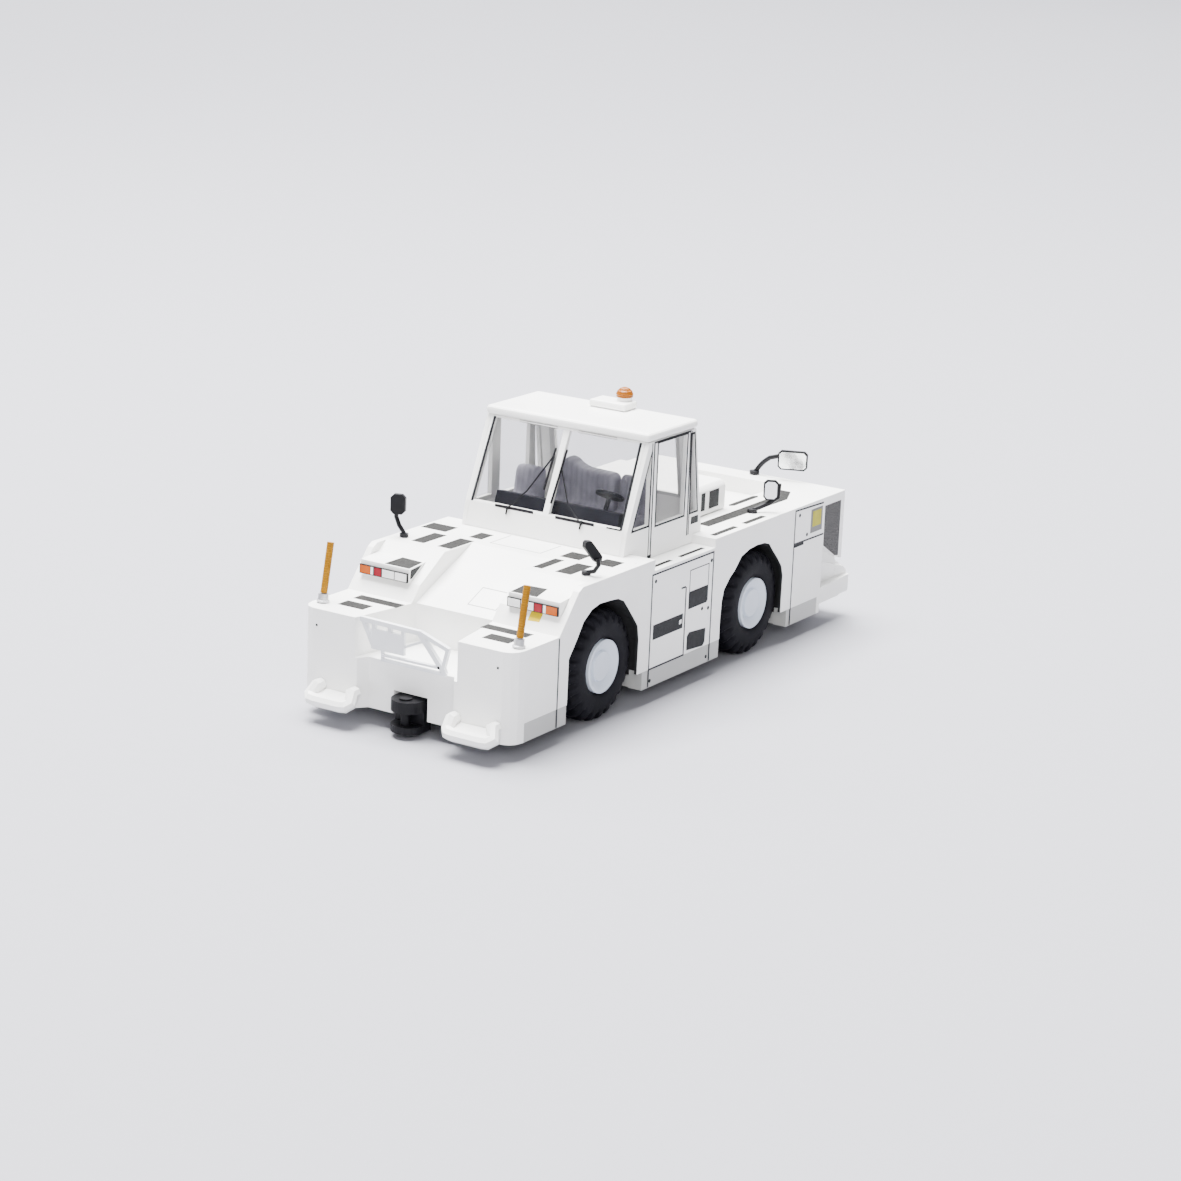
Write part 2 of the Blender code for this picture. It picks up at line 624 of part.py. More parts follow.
for side, sign in (("left", 1), ("right", -1)):
    ends = sorted((sign * INSIDE_X, sign * CAB_HALF))
    wall = prism("cab_side_" + side, "white", "X", SIDE_PANEL, ends[0], ends[1])
    sheet = sorted((sign * (INSIDE_X - GAP - GLASS_THICK), sign * (INSIDE_X - GAP)))
    glazing = prism("side_glazing_" + side, "glass", "X", SIDE_SHEET, sheet[0], sheet[1])
    through = sorted((sign * 5, sign * 8))
    pane = sorted((sign * (INSIDE_X - GAP - GLASS_THICK / 2), sign * (CAB_HALF - GLASS_SET_BACK)))
    for name, hole in SIDE_WINDOWS.items():
        cut(wall, prism(f"tool_window_{name}_{side}", None, "X", hole, through[0], through[1]))
        join(glazing, prism(f"tool_pane_{name}_{side}", None, "X", shrink(hole, 0.02), pane[0], pane[1]))

INNER = INSIDE_X - 0.02


def sloping(low, high, near, far):
    """A (y, z) outline between two depths behind the sloping line from low to high."""
    return [(low[0] + near, low[1]), (high[0] + near, high[1]), (high[0] + far, high[1]), (low[0] + far, low[1])]


front = prism(
    "cab_front", "white", "X",
    [
        (CAB_FRONT_BASE_Y, DECK_Z + GAP), LOW, HIGH,
        (HIGH[0] + CAB_WALL, HIGH[1]), (LOW[0] + CAB_WALL, LOW[1]), (CAB_FRONT_BASE_Y + CAB_WALL, DECK_Z + GAP),
    ],
    -INNER, INNER,
)
behind = CAB_WALL + GAP
low = (line_y(LOW, HIGH, 11.44), 11.44)
high = (line_y(LOW, HIGH, 16.88), 16.88)
windscreen = prism(
    "windscreen", "glass", "X", sloping(low, high, behind, behind + GLASS_THICK), -INNER + 0.20, INNER - 0.20,
)
for side, sign in (("left", 1), ("right", -1)):
    hole = [
        (sign * 0.22, 11.52), (sign * (INNER - 0.24), 11.52), (sign * (INNER - 0.38), 16.80), (sign * 0.22, 16.80),
    ]
    cut(front, prism("tool_windscreen_" + side, None, "Y", hole, -7.5, -1.5))
    ends = sorted((sign * 0.1, sign * (INNER - 0.08)))
    pane = prism(
        "tool_pane_windscreen_" + side, None, "X",
        sloping(low, high, GLASS_SET_BACK, behind + GLASS_THICK / 2), ends[0], ends[1],
    )
    change(pane, prism("tool_pane_edge_" + side, None, "Y", shrink(hole, 0.02), -7.5, -1.5), "INTERSECT")
    join(windscreen, pane)

rear_low = (CAB_REAR_BASE_Y, REAR_DECK_Z + GAP)
rear_high = (CAB_REAR_TOP_Y, CAB_TOP_Z)
rear = prism("cab_rear", "white", "X", sloping(rear_low, rear_high, 0, -CAB_WALL), -INNER, INNER)
REAR_HOLE_X = INNER - 1.18
REAR_HOLE = [(-REAR_HOLE_X, 12.10), (REAR_HOLE_X, 12.10), (REAR_HOLE_X, 16.30), (-REAR_HOLE_X, 16.30)]
cut(rear, prism("tool_rear_window", None, "Y", REAR_HOLE, 0, 6))
low = (line_y(rear_low, rear_high, 11.90), 11.90)
high = (line_y(rear_low, rear_high, 16.50), 16.50)
rear_glass = prism(
    "rear_window", "glass", "X", sloping(low, high, -behind, -behind - GLASS_THICK),
    -REAR_HOLE_X - 0.30, REAR_HOLE_X + 0.30,
)
pane = prism(
    "tool_pane_rear", None, "X", sloping(low, high, -GLASS_SET_BACK, -behind - GLASS_THICK / 2),
    -REAR_HOLE_X - 0.20, REAR_HOLE_X + 0.20,
)
change(pane, prism("tool_pane_rear_edge", None, "Y", shrink(REAR_HOLE, 0.02), 0, 6), "INTERSECT")
join(rear_glass, pane)

roof = box(
    "cab_roof", "white", (-CAB_HALF - 0.06, CAB_HALF + 0.06), (HIGH[0] - 0.20, CAB_REAR_TOP_Y + 0.20),
    (CAB_TOP_Z + GAP, CAB_TOP_Z + GAP + ROOF_THICK),
)
bevel(roof, 0.24, 3)
ROOF_TOP_Z = CAB_TOP_Z + GAP + ROOF_THICK
pad = box("beacon_base", "white", (-1.10, 1.75), (0.90, 2.55), (ROOF_TOP_Z + 0.02, ROOF_TOP_Z + 0.52))
bevel(pad, 0.14)
BEACON_X, BEACON_Y = 1.00, 2.05
NECK_TOP_Z = ROOF_TOP_Z + 0.76
join(pad, cylinder("tool_beacon_neck", None, "Z", ROOF_TOP_Z + 0.30, NECK_TOP_Z, 0.50, 24, (BEACON_X, BEACON_Y, 0)))
lathe(
    "beacon", "amber", "Z",
    [(0, 0), (0, 0.56), (0.20, 0.59), (0.40, 0.51), (0.57, 0.33), (0.66, 0.12), (0.68, 0)],
    24, (BEACON_X, BEACON_Y, NECK_TOP_Z + 0.02),
)

# ---------------------------------------------------------------- cab interior
DRIVER_X = INNER - 2.83
DRIVER_WIDTH = 2.60
PASSENGER_X = -INNER + 1.48
PASSENGER_WIDTH = 2.30
DASH_END_X = INNER - 0.98
MIDDLE_LEFT = DRIVER_X - DRIVER_WIDTH / 2 - 0.20
MIDDLE_RIGHT = PASSENGER_X + PASSENGER_WIDTH / 2 + 0.40
CROWN = (MIDDLE_LEFT - MIDDLE_RIGHT) / 4.80  # the middle back's headrest narrows with it
box("cab_floor", "seat", (-INNER + 0.02, INNER - 0.02), (LEDGE_FRONT_Y + 0.05, LEDGE_REAR_Y - 0.06), (LEDGE_Z + GAP, 9.50))
prism(
    "dashboard", "black", "X",
    [(-4.80, 9.53), (-4.80, 11.40), (-4.50, 12.20), (-3.70, 12.05), (-3.20, 11.30), (-3.45, 9.53)],
    PASSENGER_X, DASH_END_X,
)


def seat(name, x, width, top, y):
    """A cushion with an upright back in one moulding, its side outline pulled across the cab."""
    outline = [
        (y - 1.90, 9.53), (y - 1.90, 11.00), (y - 1.70, 11.25), (y - 0.10, 11.10), (y + 0.20, top - 0.30),
        (y + 0.45, top), (y + 0.90, top), (y + 1.05, top - 0.25), (y + 0.90, 9.53),
    ]
    return bevel(prism(name, "seat", "X", outline, x - width / 2, x + width / 2), 0.16)


seat("driver_seat", DRIVER_X, DRIVER_WIDTH, 13.45, 0.10)
seat("passenger_seat", PASSENGER_X, PASSENGER_WIDTH, 13.25, -1.10)
middle = prism(
    "middle_seat", "seat", "Y",
    [
        (MIDDLE_RIGHT, 9.53), (MIDDLE_RIGHT, 12.30), (MIDDLE_RIGHT + 0.30 * CROWN, 13.35),
        (MIDDLE_RIGHT + 0.85 * CROWN, 14.05), (MIDDLE_RIGHT + 1.30 * CROWN, 14.05),
        (MIDDLE_RIGHT + 1.85 * CROWN, 13.65), (MIDDLE_RIGHT + 2.45 * CROWN, 13.48),
        (MIDDLE_LEFT - 0.20 * CROWN, 13.42), (MIDDLE_LEFT, 13.20), (MIDDLE_LEFT, 9.53),
    ],
    -0.10, 1.10,
)
bevel(middle, 0.20 * CROWN, 2, 20)
join(middle, box("tool_middle_cushion", None, (MIDDLE_RIGHT + 0.15, MIDDLE_LEFT - 0.15), (-1.80, 0.10), (9.53, 11.10)))
cylinder("steering_column", "black", "Z", 0, 1.15, 0.16, 12, (DRIVER_X - 0.10, -3.28, 11.62), (-28, 0, 0))
lathe(
    "steering_wheel", "black", "Z",
    [(0, 0), (0, 0.95), (0.16, 1.00), (0.24, 0.90), (0.18, 0.20), (0.18, 0)], 24, (DRIVER_X - 0.10, -2.72, 12.68), (-28, 0, 0),
)

# ---------------------------------------------------------------- mirrors


def head(name, kind, width, height, thick, location, turn):
    """A rounded rectangular mirror head facing local -Y."""
    w, h, c = width / 2, height / 2, 0.22
    outline = [(-w, -h + c), (-w + c, -h), (w - c, -h), (w, -h + c), (w, h - c), (w - c, h), (-w + c, h), (-w, h - c)]
    return prism(name, kind, "Y", outline, -thick / 2, thick / 2, location, turn)


MIRRORS = {
    "front_mirror_right": (
        [(-7.28, -11.20, 9.84), (-7.30, -11.20, 10.10), (-7.70, -11.20, 10.55), (-7.95, -11.20, 11.10), (-7.92, -11.20, 11.50)],
        0.15, (1.00, 1.35, 0.34), (-7.80, -11.20, 11.95), (0, 0, 20),
    ),
    "front_mirror_left": (
        [(6.85, -10.97, 9.84), (7.00, -10.97, 10.02), (7.45, -10.97, 10.15), (7.75, -10.97, 10.60), (7.70, -10.97, 11.00)],
        0.15, (0.60, 1.75, 0.42), (7.30, -11.05, 11.45), (0, -38, 62),
    ),
}
for name, (path, radius, size, centre, turn) in MIRRORS.items():
    arm = wire(name, "black", path, radius, sides=2)
    plate = head("tool_head_" + name, None, *size, centre, turn)
    foot = cylinder("tool_foot_" + name, None, "Z", 0, 0.22, 0.30, 12, path[0])
    join(arm, plate, foot)

REAR_MIRRORS = {
    "left": (
        [(6.50, 10.50, 9.68), (6.62, 10.60, 9.88), (7.25, 11.40, 10.25), (7.80, 11.70, 10.75), (7.84, 11.70, 11.70)],
        (7.36, 11.45, 11.22), (0, 0, 30), 1.05,
    ),
    "right": (
        [
            (0.95, 20.35, 9.68), (1.00, 20.45, 9.90), (1.29, 20.50, 10.33), (1.61, 20.50, 10.68), (2.08, 20.50, 11.05),
            (2.95, 20.50, 11.33), (3.60, 20.50, 11.30),
        ],
        (4.02, 20.42, 11.16), (0, 0, 22), 2.15,
    ),
}
for side, (path, centre, turn, width) in REAR_MIRRORS.items():
    arm = wire("rear_mirror_" + side, "black", path, 0.17, sides=2)
    back = head("tool_head_rear_" + side, None, width, 1.42, 0.24, centre, turn)
    foot = cylinder("tool_foot_rear_" + side, None, "Z", 0, 0.25, 0.36, 12, path[0])
    join(arm, back, foot)

# ---------------------------------------------------------------- base screws and the bosses they bite into
for where, y, boss_top, shank_top in (("front", -17.1, 3.93, 3.2), ("rear", 15.6, 7.62, 4.6)):
    lathe(
        "base_screw_" + where, "steel", "Z",
        [(0.86, 0), (0.86, 0.78), (0.92, 0.86), (1.17, 0.86), (1.17, 0.44), (shank_top, 0.44), (shank_top, 0)],
        24, (0, y, 0),
    )
    hole_top = shank_top + 0.1
    boss = lathe(
        "tool_boss_" + where, None, "Z",
        [(2.03, 0.48), (2.03, 1.05), (boss_top, 1.05), (boss_top, 0), (hole_top, 0), (hole_top, 0.48)],
        24, (0, y, 0), (0, 0, 4),
    )
    join(body, boss)
    cut(base, cylinder("tool_screw_hole_" + where, None, "Z", -1, 3, 0.48, 24, (0, y, 0), (0, 0, 4)))

# ---------------------------------------------------------------- every piece to metres, with its cuts made
bpy.context.view_layer.update()
graph = bpy.context.evaluated_depsgraph_get()
pieces = [obj for obj in bpy.context.scene.objects if not obj.hide_render]
finished = {obj.name: bpy.data.meshes.new_from_object(obj.evaluated_get(graph)) for obj in pieces}
for obj in list(bpy.context.scene.objects):
    if obj.name not in finished:
        bpy.data.objects.remove(obj, do_unlink=True)
for obj in pieces:
    obj.modifiers.clear()
    obj.data = finished[obj.name]
    obj.data.name = obj.name
    obj.data.transform(Matrix.Scale(MM, 4))
    obj.location = obj.location * MM
    obj.data.shade_smooth()
    obj.data.set_sharp_from_angle(angle=math.radians(30))
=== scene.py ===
"""Looks of a die-cast and plastic display model, at 1:200, of a heavy aircraft pushback tractor."""

import math

import bpy
from mathutils import Euler, Matrix, Vector
from mathutils.bvhtree import BVHTree


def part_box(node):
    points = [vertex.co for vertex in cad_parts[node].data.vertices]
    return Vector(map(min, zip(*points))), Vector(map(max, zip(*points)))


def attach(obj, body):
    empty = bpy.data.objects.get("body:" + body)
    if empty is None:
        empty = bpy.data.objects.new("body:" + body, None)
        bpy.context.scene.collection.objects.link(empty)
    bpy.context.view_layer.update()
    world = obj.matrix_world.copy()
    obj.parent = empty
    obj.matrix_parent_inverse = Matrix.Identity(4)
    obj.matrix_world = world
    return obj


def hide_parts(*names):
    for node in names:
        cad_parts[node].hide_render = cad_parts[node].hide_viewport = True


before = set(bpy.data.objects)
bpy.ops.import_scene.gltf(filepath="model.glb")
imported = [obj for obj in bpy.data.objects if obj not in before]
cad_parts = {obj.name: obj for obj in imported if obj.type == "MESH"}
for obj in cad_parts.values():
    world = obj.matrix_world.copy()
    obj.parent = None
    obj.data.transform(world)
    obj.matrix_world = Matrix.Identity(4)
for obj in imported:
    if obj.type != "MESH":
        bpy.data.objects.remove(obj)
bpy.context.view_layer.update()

# ------------------------------------------------------------------ body casting
# The hull is one zinc die casting, sprayed with a warm white enamel. Its engine cover,
# tail bumper and plastic cab are sprayed from the same batch, so one finish serves them all.
MM = 0.001
ENAMEL = (0.86, 0.855, 0.84)
ENAMEL_SHADE = (0.80, 0.795, 0.775)
DUST = (0.62, 0.60, 0.56)


class Value:
    """One output of a shader node. Arithmetic on it adds Math nodes."""

    def __init__(self, finish, socket):
        self.finish = finish
        self.socket = socket

    def math(self, operation, *terms):
        return self.finish.node("Math", {"operation": operation}, dict(enumerate(terms)))

    def __add__(self, other):
        return self.math("ADD", self, other)

    def __radd__(self, other):
        return self.math("ADD", other, self)

    def __sub__(self, other):
        return self.math("SUBTRACT", self, other)

    def __rsub__(self, other):
        return self.math("SUBTRACT", other, self)

    def __mul__(self, other):
        return self.math("MULTIPLY", self, other)

    def __rmul__(self, other):
        return self.math("MULTIPLY", other, self)

    def at_least(self, lowest):
        return self.math("MAXIMUM", self, lowest)

    def size(self):
        return self.math("ABSOLUTE", self)

    def root(self):
        return self.math("SQRT", self)

    def wave(self, period):
        """A smooth wave from 0 to 1 with this period."""
        return self.math("SINE", self * (2 * math.pi / period)) * 0.5 + 0.5

    def step(self, low, high):
        """0 below low, 1 above high, smooth between them."""
        settings = {"interpolation_type": "SMOOTHSTEP"}
        return self.finish.node("MapRange", settings, {"Value": self, "From Min": low, "From Max": high})


class Finish:
    """A procedural material, with shader maths in millimetres of the row frame."""

    def __init__(self, name, **constants):
        self.material = bpy.data.materials.new(name)
        self.material.use_nodes = True
        self.tree = self.material.node_tree
        self.shader = self.tree.nodes["Principled BSDF"]
        for socket, value in constants.items():
            self.shader.inputs[socket.replace("_", " ")].default_value = value
        coordinates = self.node("TexCoord", {}, {}, "Object")
        self.place = self.node("VectorMath", {"operation": "SCALE"}, {0: coordinates, "Scale": 1 / MM})

    def node(self, kind, settings, inputs, output=0):
        """Adds a node: its settings first, then the values or links of its sockets."""
        made = self.tree.nodes.new("ShaderNode" + kind)
        for key, value in settings.items():
            setattr(made, key, value)
        for key, value in inputs.items():
            if isinstance(value, Value):
                self.tree.links.new(value.socket, made.inputs[key])
            else:
                made.inputs[key].default_value = value
        return Value(self, made.outputs[output])

    def noise(self, scale, detail=3.0, stretch=(1, 1, 1)):
        """Noise from 0 to 1, with this many cells a millimetre."""
        place = self.place
        if stretch != (1, 1, 1):
            place = self.node("VectorMath", {"operation": "MULTIPLY"}, {0: place, 1: stretch})
        return self.node("TexNoise", {}, {"Vector": place, "Scale": scale, "Detail": detail}, "Fac")

    def axis(self, letter):
        return self.node("SeparateXYZ", {}, {"Vector": self.place}, letter)

    def mix(self, share, first, second):
        """A colour between two others, of which each may be three numbers or another mix."""
        colours = {
            key: colour if isinstance(colour, Value) else (*colour, 1)
            for key, colour in ((6, first), (7, second))
        }
        return self.node("Mix", {"data_type": "RGBA"}, {0: share, **colours}, 2)

    def feed(self, socket, value):
        self.tree.links.new(value.socket, self.shader.inputs[socket])

    def bump(self, height, distance):
        """Relief of the surface, with its height given as a distance in millimetres."""
        self.feed("Normal", self.node("Bump", {}, {"Height": height, "Distance": distance * MM}))


RIM_BOXES = [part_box(f"rim_{where}_left") for where in ("front", "rear")]
AXLES_Y = [(low.y + high.y) / 2 / MM for low, high in RIM_BOXES]
AXLE_Z = (RIM_BOXES[0][0].z + RIM_BOXES[0][1].z) / 2 / MM
ARCH_REACH = 5.80  # how far from an axle the painted shade reaches
ARCH_INNER_X = 4.30
FLANK_X = 8.21
MASK_EDGE = 0.05
FLANK_EDGE = 0.02
ARCH_PAINTED_SHADE = (0.004, 0.004, 0.005)
GRIME_FULL_Z = 0.6  # handling dust fades out from here up to the next height
GRIME_TOP_Z = 5.5


def shaded_arch_mask(skin):
    """1 inside the wheel arches, where near black is painted as shade, and 0 on the flanks round them."""
    outward = skin.axis("X").size()
    inside = outward.step(ARCH_INNER_X, ARCH_INNER_X + MASK_EDGE)
    inside = inside * (1 - outward.step(FLANK_X - FLANK_EDGE, FLANK_X + FLANK_EDGE))
    shares = []
    for axle in AXLES_Y:
        across = skin.axis("Y") - axle
        above = skin.axis("Z") - AXLE_Z
        reach = (across * across + above * above).root()
        shares.append(1 - reach.step(ARCH_REACH - MASK_EDGE, ARCH_REACH + MASK_EDGE))
    return inside * (shares[0] + shares[1])


def spray(name, colour, shade, low, high, orange_peel=0.006, painted_shade_above=None):
    """A sprayed or moulded semi-gloss skin: faint clouds of tone, handling dust, orange peel, and near
    black painted shade inside the wheel arches when asked.
    """
    skin = Finish(name, Coat_Roughness=0.18, Specular_IOR_Level=0.5)
    clouds = skin.noise(0.16, 4.0).step(0.35, 0.75)
    height = skin.axis("Z")
    grime = skin.noise(0.9, 6.0).step(0.60, 0.86) * (1 - height.step(GRIME_FULL_Z, GRIME_TOP_Z)) * 0.35
    paint = skin.mix(grime, skin.mix(clouds, colour, shade), DUST)
    matt = grime
    if painted_shade_above is not None:
        # Painted shade: inside the wheel arches the colour turns near black, standing in for the deep
        # shade there.
        arch_shade = shaded_arch_mask(skin) * height.step(painted_shade_above, painted_shade_above + MASK_EDGE)
        paint = skin.mix(arch_shade, paint, ARCH_PAINTED_SHADE)
        matt = grime + arch_shade * 1.6
    skin.feed("Base Color", paint)
    skin.feed("Roughness", skin.noise(0.5, 5.0) * (high - low) + low + matt * 0.3)
    skin.feed("Coat Weight", (0.12 - matt * 0.2).at_least(0.0))
    skin.bump(skin.noise(5.0, 2.0) + skin.noise(22.0, 2.0) * 0.35, orange_peel)
    return skin.material


def dress(material, *names):
    for name in names:
        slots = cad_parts[name].data.materials
        slots.clear()
        slots.append(material)


enamel = spray("white_enamel", ENAMEL, ENAMEL_SHADE, 0.30, 0.46)
# The hull's finish also paints near black shade inside its wheel arches.
hull_enamel_and_arch_shade = spray("hull_enamel_and_arch_shade", ENAMEL, ENAMEL_SHADE, 0.30, 0.46, painted_shade_above=1.0)
dress(hull_enamel_and_arch_shade, "body_casting")
dress(enamel, "engine_cover", "rear_bumper", "front_step_left", "front_step_right")

# ------------------------------------------------------------------ base plate
# The underside is a light grey ABS moulding, left unpainted, which shows as the skirt band
# along both flanks. Two cross-head steel screws hold it to the casting, each with a recess.
SKIRT_TOP = 2.45
BASE_GREY = (0.42, 0.42, 0.405)
BASE_SHADE = (0.37, 0.37, 0.36)
# Above the skirt, inside the wheel arches, this finish paints near black shade.
base_plastic = spray("base_plastic", BASE_GREY, BASE_SHADE, 0.38, 0.55, 0.004, SKIRT_TOP)
dress(base_plastic, "base_plate")

CROSS_LENGTH = 1.05
CROSS_WIDTH = 0.24
CROSS_DEPTH = 0.28
CUT_BELOW = 0.2  # the cutter starts this far under the screw


def metal(name, colour, low, high):
    """Bare turned or plated steel with fine tool marks and a few dull patches."""
    turned = Finish(name, Metallic=1.0)
    tone = turned.noise(1.2, 4.0).step(0.3, 0.8)
    turned.feed("Base Color", turned.mix(tone, colour, tuple(c * 0.72 for c in colour)))
    turned.feed("Roughness", turned.noise(9.0, 3.0) * (high - low) + low)
    turned.bump(turned.noise(14.0, 2.0, (1, 1, 6)), 0.004)
    return turned.material


def mesh_piece(name, points, faces, material):
    """A mesh object from points in millimetres."""
    data = bpy.data.meshes.new(name)
    data.from_pydata([tuple(c * MM for c in point) for point in points], [], faces)
    data.update()
    data.materials.append(material)
    made = bpy.data.objects.new(name, data)
    bpy.context.scene.collection.objects.link(made)
    return made


def block(name, x, y, z, material):
    """A box between two values on each axis."""
    points = [(a, b, c) for a in x for b in y for c in z]
    faces = [(0, 1, 3, 2), (4, 6, 7, 5), (0, 4, 5, 1), (2, 3, 7, 6), (0, 2, 6, 4), (1, 5, 7, 3)]
    return mesh_piece(name, points, faces, material)


screw_steel = metal("screw_steel", (0.58, 0.57, 0.55), 0.28, 0.48)
axle_steel = metal("axle_steel", (0.66, 0.66, 0.67), 0.20, 0.36)
dress(screw_steel, "base_screw_front", "base_screw_rear")
dress(axle_steel, "front_axle", "rear_axle")
for where in ("front", "rear"):
    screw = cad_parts["base_screw_" + where]
    low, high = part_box("base_screw_" + where)
    centre = (low + high) / 2 / MM
    under = low.z / MM
    depth = (under - CUT_BELOW, under + CROSS_DEPTH)
    for turn, (a, b) in enumerate(((CROSS_LENGTH, CROSS_WIDTH), (CROSS_WIDTH, CROSS_LENGTH))):
        slot_x = (centre.x - a / 2, centre.x + a / 2)
        slot_y = (centre.y - b / 2, centre.y + b / 2)
        cutter = block(f"tool_cross_{where}_{turn}", slot_x, slot_y, depth, screw_steel)
        cutter.hide_render = True
        cutter.hide_viewport = True
        recess = screw.modifiers.new("cross_recess", "BOOLEAN")
        recess.object = cutter
        recess.operation = "DIFFERENCE"

# ------------------------------------------------------------------ wheels
# Four soft vinyl tyres with block treads, pressed over pale blue-grey plastic rims.
# Each pair turns with its steel axle, so tyres and rims ride on the wheelsets.
TYRE_PROFILE = [
    (-1.04, 1.80), (-1.20, 1.90), (-1.28, 2.12), (-1.30, 2.45), (-1.29, 2.75), (-1.26, 3.00),
    (-1.20, 3.20), (-1.12, 3.36), (-1.02, 3.50), (-0.90, 3.60), (-0.72, 3.66), (-0.50, 3.70),
    (-0.26, 3.72), (-0.09, 3.73),
]
TYRE_HALF = 1.30
BORE_HALF = 1.04
BORE_RADIUS = 1.80
BORE_STEPS = 8
LUGS = 24
SAMPLES_A_LUG = 12
LUG_DEPTH = 0.21
LUG_SHARE = 0.60  # of the pitch, the rest is groove
LUG_SKEW = 0.75  # pitches that a lug leans back from the middle to the shoulder
LUG_EDGE = (-0.03, 0.06)
LUG_FOOT = (3.02, 3.30)  # radii between which the grooves deepen
CENTRE_RIB = (0.05, 0.16)
CROWN_SPREAD = 1.6
CROWN_CENTRE = 2.4
TYRE_CREASE = 50  # degrees above which an edge stays sharp


def smooth(value, low, high):
    t = min(1.0, max(0.0, (value - low) / (high - low)))
    return t * t * (3 - 2 * t)


def rubber_finish():
    """Vinyl: near black with a cool cast, matt in the tread and a little shinier on the walls."""
    rubber = Finish("tyre_rubber", Specular_IOR_Level=0.09)
    tone = rubber.noise(0.7, 5.0).step(0.3, 0.75)
    black = rubber.mix(tone, (0.0035, 0.0035, 0.0052), (0.0070, 0.0068, 0.0098))
    dust = rubber.noise(3.2, 6.0).step(0.58, 0.82) * 0.25
    rubber.feed("Base Color", rubber.mix(dust, black, (0.040, 0.039, 0.044)))
    rubber.feed("Roughness", rubber.noise(1.4, 4.0) * 0.22 + 0.50)
    rubber.bump(rubber.noise(16.0, 3.0), 0.010)
    return rubber.material


def tyre_surface(side):
    """Points and faces of a tyre round the X axis: its walls, then lugs pressed into the crown."""
    half = TYRE_PROFILE + [(-x, r) for x, r in reversed(TYRE_PROFILE)]
    bore_step = 2 * BORE_HALF / BORE_STEPS
    profile = half + [(BORE_HALF - bore_step * i, BORE_RADIUS) for i in range(1, BORE_STEPS)]
    around = LUGS * SAMPLES_A_LUG
    points = []
    for turn in range(around):
        angle = 2 * math.pi * turn / around
        for x, radius in profile:
            reach = abs(x) / TYRE_HALF
            phase = turn / SAMPLES_A_LUG + LUG_SKEW * reach + (0.5 if x * side > 0 else 0.0)
            across = abs((phase % 1.0) - LUG_SHARE / 2)
            across = min(across, 1 - across)
            groove = smooth(across, LUG_SHARE / 2 + LUG_EDGE[0], LUG_SHARE / 2 + LUG_EDGE[1])
            groove *= smooth(radius, *LUG_FOOT) * smooth(reach, *CENTRE_RIB)
            depth = LUG_DEPTH * groove
            lean = math.atan2(x * CROWN_SPREAD, radius - CROWN_CENTRE)
            r = radius - depth * math.cos(lean)
            points.append((x - depth * math.sin(lean), r * math.cos(angle), r * math.sin(angle)))
    width = len(profile)
    faces = []
    for turn in range(around):
        here = turn * width
        there = (turn + 1) % around * width
        for i in range(width):
            j = (i + 1) % width
            faces.append((here + i, here + j, there + j, there + i))
    return points, faces


tyre_rubber = rubber_finish()
for where in ("front", "rear"):
    for side, sign in (("left", 1), ("right", -1)):
        node = f"tyre_{where}_{side}"
        low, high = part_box(node)
        hub = (low + high) / 2 / MM
        points, faces = tyre_surface(sign)
        moved = [(x + hub.x, y + hub.y, z + hub.z) for x, y, z in points]
        tyre = mesh_piece(f"treaded_{node}", moved, faces, tyre_rubber)
        tyre.data.shade_smooth()
        tyre.data.set_sharp_from_angle(angle=math.radians(TYRE_CREASE))
        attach(tyre, where + "_wheelset")
        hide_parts(node)

rim_plastic = spray("rim_plastic", (0.58, 0.63, 0.71), (0.52, 0.57, 0.65), 0.32, 0.48, 0.004)
dress(rim_plastic, *(f"rim_{where}_{side}" for where in ("front", "rear") for side in ("left", "right")))

# ------------------------------------------------------------------ printed panels of the hull
# Door seams, vents and grip strips of the hull aren't cut into the casting: they are pad
# printed on the enamel in black and grey ink, the same on both flanks.
INK = 0.012
INK_ROOT = 0.01  # how far a print reaches into its surface, so that it never floats
INK_SPAN = 0.04  # corners this near to the middle depth are laid level
SEAM = 0.12
THIN_SEAM = 0.06
RAY_START = 60.0
BODY = ("body_casting",)
BLACK_INK = (0.006, 0.006, 0.007)


def printing_ink(name, colour, second, cells, low=0.45, high=0.62):
    """Pad printing ink: a screen of fine dots between two tones, slightly uneven."""
    ink = Finish(name, Specular_IOR_Level=0.14)
    screen = ink.noise(cells, 1.0).step(0.42, 0.58)
    worn = ink.noise(1.1, 4.0).step(0.55, 0.9) * 0.25
    ink.feed("Base Color", ink.mix(worn, ink.mix(screen, colour, second), tuple(c * 1.25 for c in second)))
    ink.feed("Roughness", ink.noise(3.0, 3.0) * (high - low) + low)
    ink.bump(screen, 0.003)
    return ink.material


def patch(*corners):
    """A filled outline to print."""
    return list(corners), [tuple(range(len(corners)))]


def disc(across, up, radius, corners):
    """A filled circle to print."""
    turns = [2 * math.pi * i / corners for i in range(corners)]
    return patch(*((across + radius * math.cos(turn), up + radius * math.sin(turn)) for turn in turns))


def line(points, width=SEAM, closed=False):
    """A stroke of this width along a line to print, mitred at its corners."""
    count = len(points)
    sides = []
    for i, (a, b) in enumerate(points):
        before = points[i - 1] if closed or i > 0 else None
        after = points[(i + 1) % count] if closed or i < count - 1 else None
        runs = []
        for start, end in ((before, (a, b)), ((a, b), after)):
            if start is not None and end is not None:
                run = Vector((end[0] - start[0], end[1] - start[1])).normalized()
                runs.append(Vector((-run.y, run.x)))
        mean = sum(runs, Vector((0, 0))).normalized()
        offset = mean * (width / 2 / max(0.35, mean.dot(runs[0])))
        sides += [(a + offset.x, b + offset.y), (a - offset.x, b - offset.y)]
    last = count if closed else count - 1
    faces = []
    for i in range(last):
        j = (i + 1) % count
        faces.append((2 * i, 2 * i + 1, 2 * j + 1, 2 * j))
    return sides, faces


